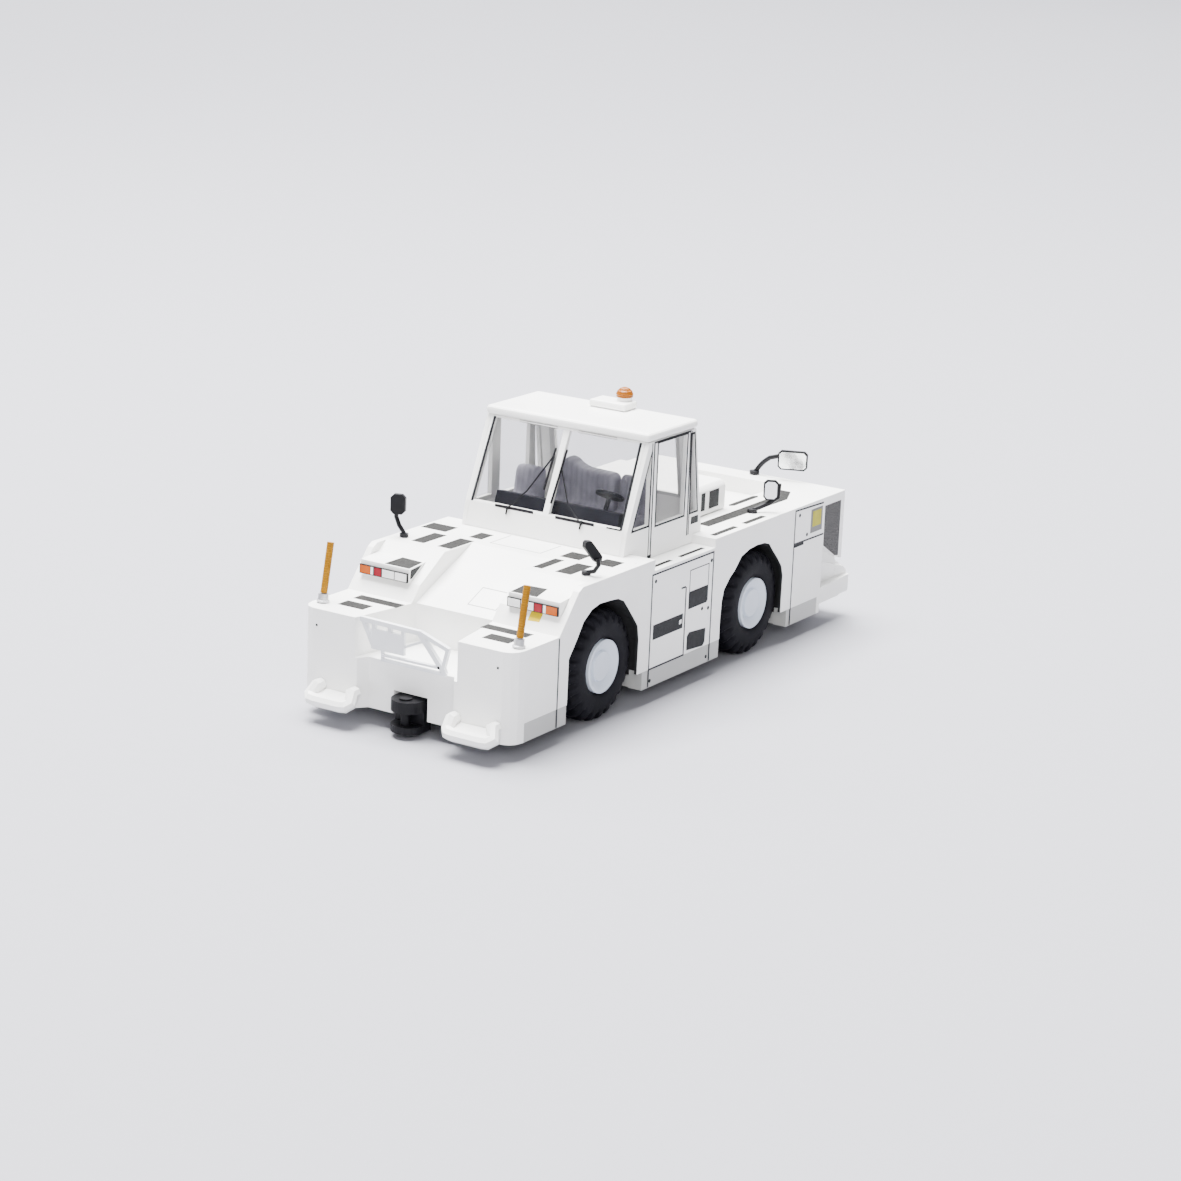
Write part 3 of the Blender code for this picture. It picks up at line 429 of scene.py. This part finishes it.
def printed(name, onto, view, shapes, material, lift=INK):
    """Lays shapes on the CAD nodes as seen along an axis: view is the axis letter and the side."""
    letter, sign = view
    normal = "XYZ".index(letter)
    flat = [i for i in range(3) if i != normal]
    trees = []
    for node in onto:
        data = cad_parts[node].data
        polygons = [tuple(p.vertices) for p in data.polygons]
        trees.append(BVHTree.FromPolygons([v.co for v in data.vertices], polygons))
    direction = Vector((0, 0, 0))
    direction[normal] = -sign
    tops, faces = [], []
    for corners, cells in shapes:
        start = len(tops)
        depths = []
        for a, b in corners:
            origin = Vector((0, 0, 0))
            origin[flat[0]], origin[flat[1]], origin[normal] = a * MM, b * MM, sign * RAY_START * MM
            hits = [tree.ray_cast(origin, direction) for tree in trees]
            reached = [hit[0][normal] * sign for hit in hits if hit[0] is not None]
            depths.append(max(reached) if reached else None)
        known = [(corner, depth) for corner, depth in zip(corners, depths) if depth is not None]
        middle = sorted(depth for _, depth in known)[len(known) // 2]
        level = sum(abs(depth - middle) < INK_SPAN * MM for _, depth in known) > len(corners) / 2
        for (a, b), depth in zip(corners, depths):
            point = [0, 0, 0]
            if depth is None:
                depth = min(known, key=lambda found: math.dist(found[0], (a, b)))[1]
            height = middle if level else depth
            point[flat[0]], point[flat[1]], point[normal] = a, b, sign * height / MM
            tops.append(point)
        faces += [tuple(start + i for i in cell) for cell in cells]
    count = len(tops)
    points = []
    for rise in (lift, -INK_ROOT):
        for point in tops:
            moved = list(point)
            moved[normal] += sign * rise
            points.append(moved)
    ends = {}
    for face in faces:
        for a, b in zip(face, face[1:] + face[:1]):
            ends.setdefault(tuple(sorted((a, b))), []).append((a, b))
    shell = list(faces) + [tuple(count + i for i in reversed(face)) for face in faces]
    for found in ends.values():
        if len(found) == 1:
            a, b = found[0]
            shell.append((b, a, count + a, count + b))
    layer = mesh_piece(name, points, shell, material)
    turned = sum(p.normal[normal] * sign * p.area for p in layer.data.polygons[: len(faces)])
    if turned < 0:
        layer.data.flip_normals()
    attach(layer, "tractor")
    return layer


black_ink = printing_ink("black_ink", BLACK_INK, (0.014, 0.014, 0.016), 30.0)
seam_ink = printing_ink("seam_ink", (0.016, 0.016, 0.018), (0.034, 0.034, 0.036), 26.0)
vent_and_shade_ink = printing_ink("vent_and_shade_ink", (0.007, 0.0075, 0.0085), (0.016, 0.0165, 0.018), 16.0)
grille_ink = printing_ink("grille_ink", (0.035, 0.034, 0.034), (0.085, 0.082, 0.080), 12.0)
grip_ink = printing_ink("grip_ink", (0.004, 0.004, 0.004), (0.016, 0.0155, 0.0145), 10.0, 0.6, 0.8)

DOOR = (-5.15, 2.54)
DOOR_TOP = 8.80
DOOR_FOOT = 2.40
POD_SEAM_Y = -15.90
REAR_SEAM_Y = 13.58
BOTTOM = 1.20
BOLT_RADIUS = 0.13
BOLTS = [
    (-4.73, 8.30), (2.30, 8.26), (1.34, 5.12), (2.13, 5.0), (-4.90, 1.58), (2.20, 1.56),
    (14.20, 9.02), (15.38, 7.42),
]
GRILLE = [(17.86, 9.02), (20.20, 9.02), (20.22, 4.92), (19.70, 5.02), (17.90, 6.10)]
for side, sign in (("left", 1), ("right", -1)):
    view = ("X", sign)
    flank = ("body_casting", "base_plate")
    seams = [
        line([(POD_SEAM_Y, 7.0), (POD_SEAM_Y, BOTTOM)]),
        line([(DOOR[0], BOTTOM), (DOOR[0], DOOR_TOP), (DOOR[1], DOOR_TOP), (DOOR[1], BOTTOM)]),
        line([(-0.86, 7.09), (-0.84, DOOR_FOOT), (DOOR[0], DOOR_FOOT)]),
        line([(-0.90, 7.12), (-1.45, 7.12)]),
        line([(-0.40, 8.12), (1.98, 8.12), (1.98, 6.62), (-0.40, 6.62)], THIN_SEAM, True),
        line([(REAR_SEAM_Y, BOTTOM), (REAR_SEAM_Y, 9.45), (17.60, 9.32)]),
        line([(REAR_SEAM_Y, 7.05), (17.78, 7.0)]),
    ]
    printed(f"flank_seams_{side}", flank, view, seams, seam_ink)
    bolts = [disc(y, z, BOLT_RADIUS, 12) for y, z in BOLTS]
    printed(f"flank_bolts_{side}", flank, view, bolts, vent_and_shade_ink)
    vents = [
        patch((-4.82, 4.34), (-1.12, 4.34), (-1.12, 5.34), (-4.82, 5.34)),
        patch((-0.46, 5.46), (1.86, 5.46), (2.0, 5.6), (2.0, 6.62), (-0.46, 6.62)),
        patch((-0.46, 2.62), (1.62, 2.46), (1.86, 2.7), (1.92, 3.66), (-0.20, 3.82), (-0.46, 3.6)),
        patch((13.66, 6.78), (14.95, 6.78), (14.95, 6.98), (13.66, 6.98)),
    ]
    printed(f"flank_vents_{side}", BODY, view, vents, vent_and_shade_ink)
    printed(f"tail_grille_{side}", BODY, view, [patch(*GRILLE)], grille_ink)
    catch = [patch((-1.56, 4.66), (-1.28, 4.70), (-1.28, 4.98), (-1.56, 4.94))]
    printed(f"flank_catch_{side}", BODY, view, catch, enamel, INK * 2)

# ------------------------------------------------------------------ deck grips
# Dark anti-slip strips on every face that a driver steps on. On the real model they are
# printed in one grainy grey-black ink, and most lie in pairs about the middle line.
TOP = ("Z", 1)


def slab(x_low, x_high, y_low, y_high):
    """A rectangle to print, between two values each way."""
    return patch((x_low, y_low), (x_high, y_low), (x_high, y_high), (x_low, y_high))


def both_sides(inner, outer, y_low, y_high):
    """The same rectangle on the left and on the right."""
    return [slab(inner, outer, y_low, y_high), slab(-outer, -inner, y_low, y_high)]


grips = [
    slab(-4.1, -3.1, -8.35, -6.9), slab(-8.0, -6.0, -8.35, -6.9), slab(-4.3, -3.2, -11.6, -9.0),
    slab(-6.4, -5.4, -11.6, -9.0), slab(-7.8, -7.65, -6.5, -4.7),
    slab(3.1, 4.6, -8.35, -6.9), slab(5.8, 7.15, -8.35, -6.9), slab(3.2, 3.9, -11.6, -9.0),
    slab(4.9, 6.1, -11.6, -9.0), slab(7.65, 7.8, -6.5, -4.7),
]
grips += both_sides(4.6, 6.6, -19.1, -18.0)
grips += both_sides(3.25, 6.7, -17.35, -16.45)
grips += both_sides(7.50, 7.80, -4.1, -2.0)
grips += both_sides(7.50, 7.80, -0.9, 2.1)
grips += both_sides(7.40, 7.82, 3.35, 6.4)
grips += both_sides(7.40, 7.82, 7.5, 10.2)
printed("deck_grips", BODY, TOP, grips, grip_ink)
tail_grips = [
    patch((5.3, 5.2), (6.2, 5.2), (6.5, 15.4), (5.6, 17.5), (4.75, 17.5), (5.35, 14.2)),
    patch((4.15, 11.3), (4.35, 11.0), (4.6, 11.3), (4.6, 14.6), (4.4, 14.9), (4.15, 14.6)),
    slab(-6.25, -5.45, 4.9, 17.0),
]
printed("tail_deck_grips", BODY, TOP, tail_grips, grip_ink)

# ------------------------------------------------------------------ bonnet hatches
# Two hatches of the sloping bonnet are only hinted at: their outlines are printed as
# hairlines in a pale grey ink, which nearly vanishes against the enamel.
hatch_ink = printing_ink("hatch_ink", (0.24, 0.24, 0.24), (0.34, 0.34, 0.34), 20.0)
hatches = [
    line([(0.35, -14.6), (2.5, -14.6), (2.5, -12.95), (0.35, -12.95)], THIN_SEAM, True),
    line([(-2.2, -6.2), (-2.2, -8.6), (1.75, -8.6), (1.75, -6.2)], 0.07),
]
printed("bonnet_hatches", BODY, TOP, hatches, hatch_ink)

# ------------------------------------------------------------------ engine cover vents
# A narrow and a wide cooling vent on each side of the engine cover, printed in the same
# dotted dark ink as the vents of the flanks.
cover_vents = [slab(6.90, 7.42, 10.05, 11.30), slab(7.95, 9.25, 10.05, 11.30)]
for side, sign in (("left", 1), ("right", -1)):
    name = "engine_cover_vents_" + side
    printed(name, ("engine_cover",), ("X", sign), cover_vents, vent_and_shade_ink)

# ------------------------------------------------------------------ service plates, tag and bolts
# Blank plates: a yellow service square in a grey border on each tail flank, and a yellow tag
# below the left lamps, in solid ink. The small square bolt heads of the pods are printed too.
def flat_ink(name, colour, low=0.35, high=0.5, coat=0.0):
    """Solid ink or lacquer without a screen: nearly even, faintly glossy."""
    ink = Finish(name, Specular_IOR_Level=0.18, Coat_Roughness=0.1)
    tone = ink.noise(1.6, 4.0).step(0.3, 0.8)
    ink.feed("Base Color", ink.mix(tone, colour, tuple(c * 0.86 for c in colour)))
    ink.feed("Roughness", ink.noise(3.0, 3.0) * (high - low) + low)
    ink.feed("Coat Weight", ink.noise(2.0, 2.0) * 0.04 + coat)
    ink.bump(ink.noise(12.0, 2.0), 0.003)
    return ink.material


plate_grey = flat_ink("plate_grey", (0.16, 0.16, 0.155))
plate_yellow = flat_ink("plate_yellow", (0.40, 0.36, 0.01))
tag_yellow = flat_ink("tag_yellow", (0.60, 0.43, 0.0))
for side, sign in (("left", 1), ("right", -1)):
    view = ("X", sign)
    border = [patch((15.85, 7.40), (17.50, 7.40), (17.50, 9.12), (15.85, 9.12))]
    printed(f"service_plate_border_{side}", BODY, view, border, plate_grey)
    face = [patch((16.10, 7.82), (17.30, 7.82), (17.30, 8.95), (16.10, 8.95))]
    printed(f"service_plate_{side}", BODY, view, face, plate_yellow, INK * 2)
tag = patch((5.55, 7.58), (6.42, 7.62), (6.42, 8.12), (5.55, 8.08))
FRONT = ("Y", -1)
printed("lamp_tag", BODY, FRONT, [tag], tag_yellow)
printed("pod_bolts", BODY, FRONT, both_sides(6.92, 7.06, 5.94, 6.08), vent_and_shade_ink)

# ------------------------------------------------------------------ lamp clusters
# A white wedge glued on each pod slope, with a grip strip on top and a clear strip in front
# that is printed from behind: amber outside, then reversing white, red and two headlamps.
lamp_white = flat_ink("lamp_white", (0.80, 0.80, 0.80), 0.15, 0.25, 0.06)
lamp_amber = flat_ink("lamp_amber", (0.38, 0.070, 0.0), 0.15, 0.25, 0.06)
lamp_red = flat_ink("lamp_red", (0.22, 0.0, 0.008), 0.15, 0.25, 0.06)
dress(enamel, "lamp_housing_left", "lamp_housing_right")
dress(black_ink, "lamp_lens_left", "lamp_lens_right")
LENS_OUTER = 7.70
LENS_INNER = 3.90
LENS_FOOT = 8.24
LENS_TOP = 8.74
# Name, the two ends as shares of the lens from its outer end, and ink
CELLS = [
    ("amber", 0.015, 0.225, lamp_amber),
    ("marker", 0.235, 0.285, lamp_white),
    ("red", 0.315, 0.455, lamp_red),
    ("dip", 0.48, 0.725, lamp_white),
    ("main", 0.745, 0.985, lamp_white),
]
for side, sign in (("left", 1), ("right", -1)):
    lens = ("lamp_lens_" + side,)
    for cell, start, end, ink in CELLS:
        outer = LENS_OUTER + (LENS_INNER - LENS_OUTER) * start
        inner = LENS_OUTER + (LENS_INNER - LENS_OUTER) * end
        ends = sorted((sign * outer, sign * inner))
        face = slab(ends[0], ends[1], LENS_FOOT, LENS_TOP)
        printed(f"lamp_{cell}_{side}", lens, FRONT, [face], ink, INK * 2)
    housing = ("lamp_housing_" + side,)
    corners = [(sign * x, y) for x, y in ((3.95, -15.10), (3.98, -13.62), (5.66, -13.50), (5.92, -15.10))]
    printed(f"lamp_grip_{side}", housing, TOP, [patch(*corners)], grip_ink)
    # Painted shade: a dark triangle printed on the side face of the wedge, where that face lies in shade.
    painted_cheek_shade = [patch((-15.12, 8.40), (-15.05, 8.98), (-13.85, 9.10), (-14.92, 8.40))]
    printed(f"lamp_painted_shade_{side}", housing, ("X", -sign), painted_cheek_shade, vent_and_shade_ink)

# ------------------------------------------------------------------ front end fittings
# The towbar jaws are black ABS with black pins; the folded towbar frame in the recess is one
# grey moulding; the marker poles are dipped in orange-yellow and stand in bare cast sockets.
def moulded(name, colour, second, low, high, grain=18.0, depth=0.006):
    """Unpainted moulded plastic: even colour with faint flow marks and a fine grain."""
    plastic = Finish(name, Specular_IOR_Level=0.16)
    flow = plastic.noise(0.6, 4.0, (1, 0.4, 1)).step(0.3, 0.8)
    plastic.feed("Base Color", plastic.mix(flow, colour, second))
    plastic.feed("Roughness", plastic.noise(2.5, 4.0) * (high - low) + low)
    plastic.bump(plastic.noise(grain, 2.0), depth)
    return plastic.material


black_plastic = moulded("black_plastic", (0.003, 0.003, 0.004), (0.007, 0.007, 0.009), 0.38, 0.55)
lattice_grey = moulded("lattice_grey", (0.70, 0.71, 0.73), (0.62, 0.63, 0.66), 0.38, 0.52)
socket_grey = metal("socket_grey", (0.46, 0.46, 0.47), 0.34, 0.52)
dress(black_plastic, "front_hitch_jaw", "rear_hitch_jaw", "front_hitch_pin", "rear_hitch_pin")
dress(lattice_grey, "front_lattice")
dress(socket_grey, "pole_socket_left", "pole_socket_right")


def pole_paint():
    """Thick dipped paint that dries in fine rings along the pole."""
    paint = Finish("pole_yellow", Specular_IOR_Level=0.12)
    rings = paint.axis("Z").wave(0.16)
    tone = paint.noise(1.8, 4.0).step(0.3, 0.8)
    yellow = paint.mix(tone, (0.28, 0.122, 0.0), (0.22, 0.092, 0.0))
    paint.feed("Base Color", paint.mix(rings * 0.18, yellow, (0.16, 0.058, 0.0)))
    paint.feed("Roughness", paint.noise(4.0, 3.0) * 0.15 + 0.34)
    paint.bump(rings, 0.018)
    return paint.material


dress(pole_paint(), "marker_pole_left", "marker_pole_right")
PIN_TURNS = [0.6 * i for i in range(11)]
pin_dot = patch(*((2.35 + 0.1 * math.cos(turn), 5.0 + 0.1 * math.sin(turn)) for turn in PIN_TURNS))
printed("lattice_pin", ("front_lattice",), FRONT, [pin_dot], black_ink)

# ------------------------------------------------------------------ cab shell
# The cab is four white ABS walls and a roof, glued over clear styrene glazing. The door
# seams and the black rubber seals of the windows are printed on the walls.
dress(enamel, "cab_side_left", "cab_side_right", "cab_front", "cab_rear", "cab_roof", "beacon_base")
SEAL = 0.14
for side, sign in (("left", 1), ("right", -1)):
    view = ("X", sign)
    wall = ("cab_side_" + side,)
    door = [
        line([(-2.60, 9.15), (-2.62, 16.86), (1.86, 16.86), (1.96, 9.72)], 0.13),
        line([(-2.88, 9.15), (-2.88, 16.86)], 0.09),
        line([(2.15, 9.75), (2.07, 16.86)], 0.09),
        line([(-2.14, 11.16), (-2.18, 16.79), (1.54, 16.79), (1.49, 11.16)], SEAL, True),
    ]
    printed(f"door_seams_{side}", wall, view, door, seam_ink)
    quarters = [
        line([(-4.99, 11.32), (-2.93, 11.32), (-2.93, 16.26)], SEAL, True),
        line([(2.22, 11.18), (3.21, 11.18), (2.40, 16.67), (1.92, 16.67)], SEAL, True),
    ]
    printed(f"quarter_seals_{side}", wall, view, quarters, black_ink)
    vent = [patch((2.42, 10.38), (3.36, 10.38), (3.32, 10.88), (2.44, 10.88))]
    printed(f"cab_vent_{side}", wall, view, vent, vent_and_shade_ink)
    catch = [patch((-2.98, 9.10), (-2.50, 9.10), (-2.50, 9.32), (-2.98, 9.32))]
    printed(f"door_catch_{side}", wall, view, catch, vent_and_shade_ink)

seals = [
    line([(-5.90, 11.44), (-5.76, 16.86)], 0.19), line([(5.90, 11.44), (5.76, 16.86)], 0.19),
    line([(-3.79, 16.84), (-0.74, 16.84)], 0.15), line([(0.90, 16.84), (3.92, 16.84)], 0.15),
    line([(-4.00, 11.46), (-0.94, 11.46)], 0.20), line([(0.80, 11.46), (3.84, 11.46)], 0.20),
    line([(4.80, 11.46), (5.90, 11.46)], 0.10),
]
printed("windscreen_seals", ("cab_front",), FRONT, seals, black_ink)
rear_seal = [line([(-5.0, 12.0), (5.0, 12.0), (5.0, 16.4), (-5.0, 16.4)], SEAL, True)]
printed("rear_window_seal", ("cab_rear",), ("Y", 1), rear_seal, black_ink)

# ------------------------------------------------------------------ glazing
# Every pane is one clear styrene moulding, pressed in from inside, so that its polished
# outer face is nearly flush with the wall. It has a trace of dust.
def clear_styrene():
    """Almost clear and slightly grey, with reflections from its polished face."""
    glass = Finish("glazing", Specular_IOR_Level=0.5, IOR=1.5, Coat_Weight=0.0)
    dusty = glass.noise(0.5, 5.0).step(0.5, 0.9)
    glass.feed("Base Color", glass.mix(dusty, (0.020, 0.021, 0.023), (0.20, 0.20, 0.20)))
    glass.feed("Roughness", dusty * 0.08 + 0.02)
    glass.feed("Alpha", dusty * 0.04 + 0.10)
    glass.bump(glass.noise(0.35, 1.0), 0.01)
    return glass.material


glazing = clear_styrene()
dress(glazing, "windscreen", "rear_window", "side_glazing_left", "side_glazing_right")

# ------------------------------------------------------------------ wipers
# Two wipers of fine black wire lie on the outside of the windscreen. Each has a blade by
# the middle post, a long arm, and a pivot at the foot of the glass.
SCREEN_LOW = (-5.55, 11.42)
SCREEN_HIGH = (-3.28, 16.93)
SCREEN_LIFT = 0.10
SCREEN_OUT = (-0.925, 0.38)  # y and z of the way out of the glass
BLADE_RADIUS = 0.075


def on_screen(x, z, lift=SCREEN_LIFT):
    """A point on the outside of the sloping windscreen, lifted off it."""
    share = (z - SCREEN_LOW[1]) / (SCREEN_HIGH[1] - SCREEN_LOW[1])
    y = SCREEN_LOW[0] + (SCREEN_HIGH[0] - SCREEN_LOW[0]) * share
    return (x, y + lift * SCREEN_OUT[0], z + lift * SCREEN_OUT[1])


def wire(name, points, radius):
    """A round black wire through points in millimetres."""
    data = bpy.data.curves.new(name, "CURVE")
    data.dimensions = "3D"
    data.bevel_depth = radius * MM
    data.bevel_resolution = 3
    data.use_fill_caps = True
    spline = data.splines.new("POLY")
    spline.points.add(len(points) - 1)
    for knot, point in zip(spline.points, points):
        knot.co = (*(c * MM for c in point), 1)
    data.materials.append(black_plastic)
    made = bpy.data.objects.new(name, data)
    bpy.context.scene.collection.objects.link(made)
    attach(made, "tractor")


wire("wiper_blade_right", [on_screen(-0.40, 15.60), on_screen(-0.52, 12.95)], BLADE_RADIUS)
wire("wiper_arm_right", [on_screen(-0.47, 15.00), on_screen(-1.78, 12.69), on_screen(-2.92, 11.42)], 0.055)
wire("wiper_blade_left", [on_screen(0.47, 15.62), on_screen(0.26, 12.2)], BLADE_RADIUS)
wire("wiper_arm_left", [on_screen(0.42, 14.4), on_screen(1.6, 12.3), on_screen(2.85, 11.38)], 0.045)
for side, x in (("right", -2.95), ("left", 2.88)):
    wire(f"wiper_pivot_{side}", [on_screen(x, 11.46, 0.02), on_screen(x, 11.40, 0.16)], 0.13)
    wire(f"wiper_stalk_{side}", [on_screen(x, 11.40, 0.12), (x - 0.1, -5.66, 11.02)], 0.06)

# ------------------------------------------------------------------ beacon
# One orange styrene dome with fine moulded ribs round it, glued on the neck of the white
# pad that stands on the roof.
def amber_dome():
    """Orange styrene, a little darker in the ribs."""
    amber = Finish("beacon_amber", Specular_IOR_Level=0.15, Coat_Roughness=0.08)
    ribs = amber.axis("Z").wave(0.17)
    orange = amber.mix(amber.noise(2.0, 3.0), (0.23, 0.068, 0.0), (0.18, 0.050, 0.0))
    amber.feed("Base Color", amber.mix(ribs * 0.15, orange, (0.15, 0.038, 0.0)))
    amber.feed("Roughness", amber.noise(6.0, 2.0) * 0.1 + 0.20)
    amber.feed("Coat Weight", ribs * 0.04 + 0.02)
    amber.bump(ribs, 0.02)
    return amber.material


dress(amber_dome(), "beacon")

# ------------------------------------------------------------------ cab interior
# Floor, dashboard and three hard seats are separate grey and black mouldings, with a tiny
# wheel on a black column. Fine upright grooves of the seats stand for sewn channels.
def seat_finish():
    """Grey seat moulding: upright grooves, a soft sheen and uneven tone."""
    plastic = Finish("seat_plastic", Specular_IOR_Level=0.4, Sheen_Weight=0.15, Sheen_Roughness=0.4)
    ribs = plastic.axis("X").wave(0.42)
    tone = plastic.noise(1.1, 4.0).step(0.3, 0.8)
    grey = plastic.mix(tone, (0.215, 0.208, 0.252), (0.290, 0.282, 0.335))
    plastic.feed("Base Color", plastic.mix(ribs * 0.30, grey, (0.155, 0.150, 0.186)))
    plastic.feed("Roughness", plastic.noise(5.0, 3.0) * 0.2 + 0.52)
    plastic.bump(ribs + plastic.noise(12.0, 2.0) * 0.2, 0.03)
    return plastic.material


dress(seat_finish(), "driver_seat", "middle_seat", "passenger_seat")
SEAT_GRID = 0.13
SEAT_ROUNDING = {"driver_seat": 10, "middle_seat": 12, "passenger_seat": 45}
for name, rounding in SEAT_ROUNDING.items():
    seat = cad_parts[name]
    even = seat.modifiers.new("even_mesh", "REMESH")
    even.mode = "VOXEL"
    even.voxel_size = SEAT_GRID * MM
    even.use_smooth_shade = True
    soft = seat.modifiers.new("rounded_edges", "SMOOTH")
    soft.factor = 0.5
    soft.iterations = rounding
floor_mat = moulded("floor_mat", (0.030, 0.030, 0.034), (0.045, 0.045, 0.050), 0.55, 0.75, 9.0, 0.02)
dress(floor_mat, "cab_floor")
dash_plastic = moulded("dash_plastic", (0.006, 0.006, 0.010), (0.012, 0.012, 0.018), 0.42, 0.60)
dress(dash_plastic, "dashboard", "steering_wheel", "steering_column")

# ------------------------------------------------------------------ dashboard dials
# Three round dials in front of the driver and a row of nine switches, without any
# lettering. They are printed in pale grey on the sloping face of the dashboard.
DIALS = [(2.55, 0.20), (3.15, 0.26), (3.80, 0.20)]  # x and radius
DIAL_Z = 11.66
SWITCHES = 9
SWITCH_ROW = (-3.6, 1.6)
SWITCH_GAP = 0.2
dial_ink = flat_ink("dial_ink", (0.55, 0.56, 0.58))
dials = [disc(x, DIAL_Z, radius, 16) for x, radius in DIALS]
pitch = (SWITCH_ROW[1] - SWITCH_ROW[0] + SWITCH_GAP) / SWITCHES
for i in range(SWITCHES):
    start = SWITCH_ROW[0] + i * pitch
    dials.append(slab(start, start + pitch - SWITCH_GAP, 11.55, 11.75))
printed("dashboard_dials", ("dashboard",), ("Y", 1), dials, dial_ink)

# ------------------------------------------------------------------ mirrors
# Black wire arms and shells, each with a plated face towards the driver. The two tail
# mirrors are larger, and their backs show the bright plating.
dress(black_plastic, "front_mirror_left", "front_mirror_right", "rear_mirror_left", "rear_mirror_right")


def plating():
    """Vacuum plating on plastic: bright, with soft smears from handling."""
    plate = Finish("mirror_plating", Metallic=0.92)
    smear = plate.noise(1.3, 4.0).step(0.4, 0.9)
    plate.feed("Base Color", plate.mix(smear, (0.86, 0.87, 0.88), (0.76, 0.77, 0.79)))
    plate.feed("Roughness", smear * 0.20 + 0.14)
    plate.bump(plate.noise(3.0, 2.0), 0.004)
    return plate.material


mirror_plating = plating()
PLATE_EDGE = 0.11
PLATE_CORNER = 0.18
PLATE_ROOT = 0.02
PLATE_THICK = 0.03
# Name: width, height and thickness of the shell, its centre, its turn and the side that is plated
MIRROR_PLATES = {
    "front_mirror_right": (1.00, 1.35, 0.34, (-7.80, -11.20, 11.95), (0, 0, 20), 1),
    "front_mirror_left": (0.60, 1.75, 0.42, (7.30, -11.05, 11.45), (0, -38, 62), 1),
    "rear_mirror_left": (1.05, 1.42, 0.24, (7.36, 11.45, 11.22), (0, 0, 30), -1),
    "rear_mirror_right": (2.15, 1.42, 0.24, (4.02, 20.42, 11.16), (0, 0, 22), -1),
}
for name, (width, height, thick, centre, turn, sign) in MIRROR_PLATES.items():
    w = width / 2 - PLATE_EDGE
    h = height / 2 - PLATE_EDGE
    c = PLATE_CORNER
    outline = [
        (-w, c - h), (c - w, -h), (w - c, -h), (w, c - h),
        (w, h - c), (w - c, h), (c - w, h), (-w, h - c),
    ]
    turned = Euler([math.radians(a) for a in turn]).to_matrix()
    points = []
    for depth in (thick / 2 - PLATE_ROOT, thick / 2 + PLATE_THICK):
        points += [tuple(turned @ Vector((x, sign * depth, z)) + Vector(centre)) for x, z in outline]
    count = len(outline)
    faces = [tuple(range(count)), tuple(reversed(range(count, 2 * count)))]
    faces += [((i + 1) % count, i, count + i, count + (i + 1) % count) for i in range(count)]
    plate = mesh_piece(name + "_plating", points, faces, mirror_plating)
    if sign > 0:
        plate.data.flip_normals()
    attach(plate, "tractor")

# ------------------------------------------------------------------ stage, lights and camera
# A sheet of pale grey card under a large overhead softbox. A second one lights the card
# behind the model, and a weak one by the camera fills its front.
CARD = (0.300, 0.300, 0.328)
card = Finish("studio_card", Specular_IOR_Level=0.2)
grain = card.noise(0.8, 5.0)
card.feed("Base Color", card.mix(grain * 0.5, CARD, tuple(c * 0.97 for c in CARD)))
card.feed("Roughness", grain * 0.1 + 0.75)
card.bump(grain, 0.01)
FLOOR = [(-1500, -900, 0), (1500, -900, 0), (1500, 3500, 0), (-1500, 3500, 0)]
floor = mesh_piece("studio_floor", FLOOR, [(0, 1, 2, 3)], card.material)


def softbox(name, place, target, size, watts):
    """A rectangular area light in millimetres, aimed at a point."""
    data = bpy.data.lights.new(name, "AREA")
    data.shape = "RECTANGLE"
    data.size = size[0] * MM
    data.size_y = size[1] * MM
    data.energy = watts
    lamp = bpy.data.objects.new(name, data)
    lamp.location = Vector(place) * MM
    aim = (Vector(target) - Vector(place)).to_track_quat("-Z", "Y")
    lamp.rotation_euler = aim.to_euler()
    bpy.context.scene.collection.objects.link(lamp)


softbox("overhead_softbox", (-70, 10, 330), (0, 0, 0), (230, 230), 10.0)
softbox("backdrop_softbox", (-330, 420, 420), (-360, 560, 0), (700, 500), 16.0)
softbox("camera_side_softbox", (230, -330, 190), (0, 0, 6), (220, 160), 1.5)
world = bpy.data.worlds.new("studio_air")
world.use_nodes = True
air = world.node_tree.nodes["Background"]
air.inputs["Color"].default_value = (0.93, 0.94, 1.0, 1)
air.inputs["Strength"].default_value = 0.52
bpy.context.scene.world = world

CAMERA_PLACE = (105.792, -165.553, 61.123)
CAMERA_RIGHT = Vector((0.83638, 0.54671, 0.03976))
CAMERA_UP = Vector((-0.18214, 0.20877, 0.96085))
lens = bpy.data.cameras.new("studio_camera")
lens.lens = 91.93
lens.sensor_width = 36.0
lens.clip_start = 0.005
lens.clip_end = 20.0
camera = bpy.data.objects.new("studio_camera", lens)
right = CAMERA_RIGHT.normalized()
back = right.cross(CAMERA_UP).normalized()
up = back.cross(right)
camera.matrix_world = Matrix((
    (right.x, up.x, back.x, CAMERA_PLACE[0] * MM),
    (right.y, up.y, back.y, CAMERA_PLACE[1] * MM),
    (right.z, up.z, back.z, CAMERA_PLACE[2] * MM),
    (0, 0, 0, 1),
))
bpy.context.scene.collection.objects.link(camera)
bpy.context.scene.camera = camera
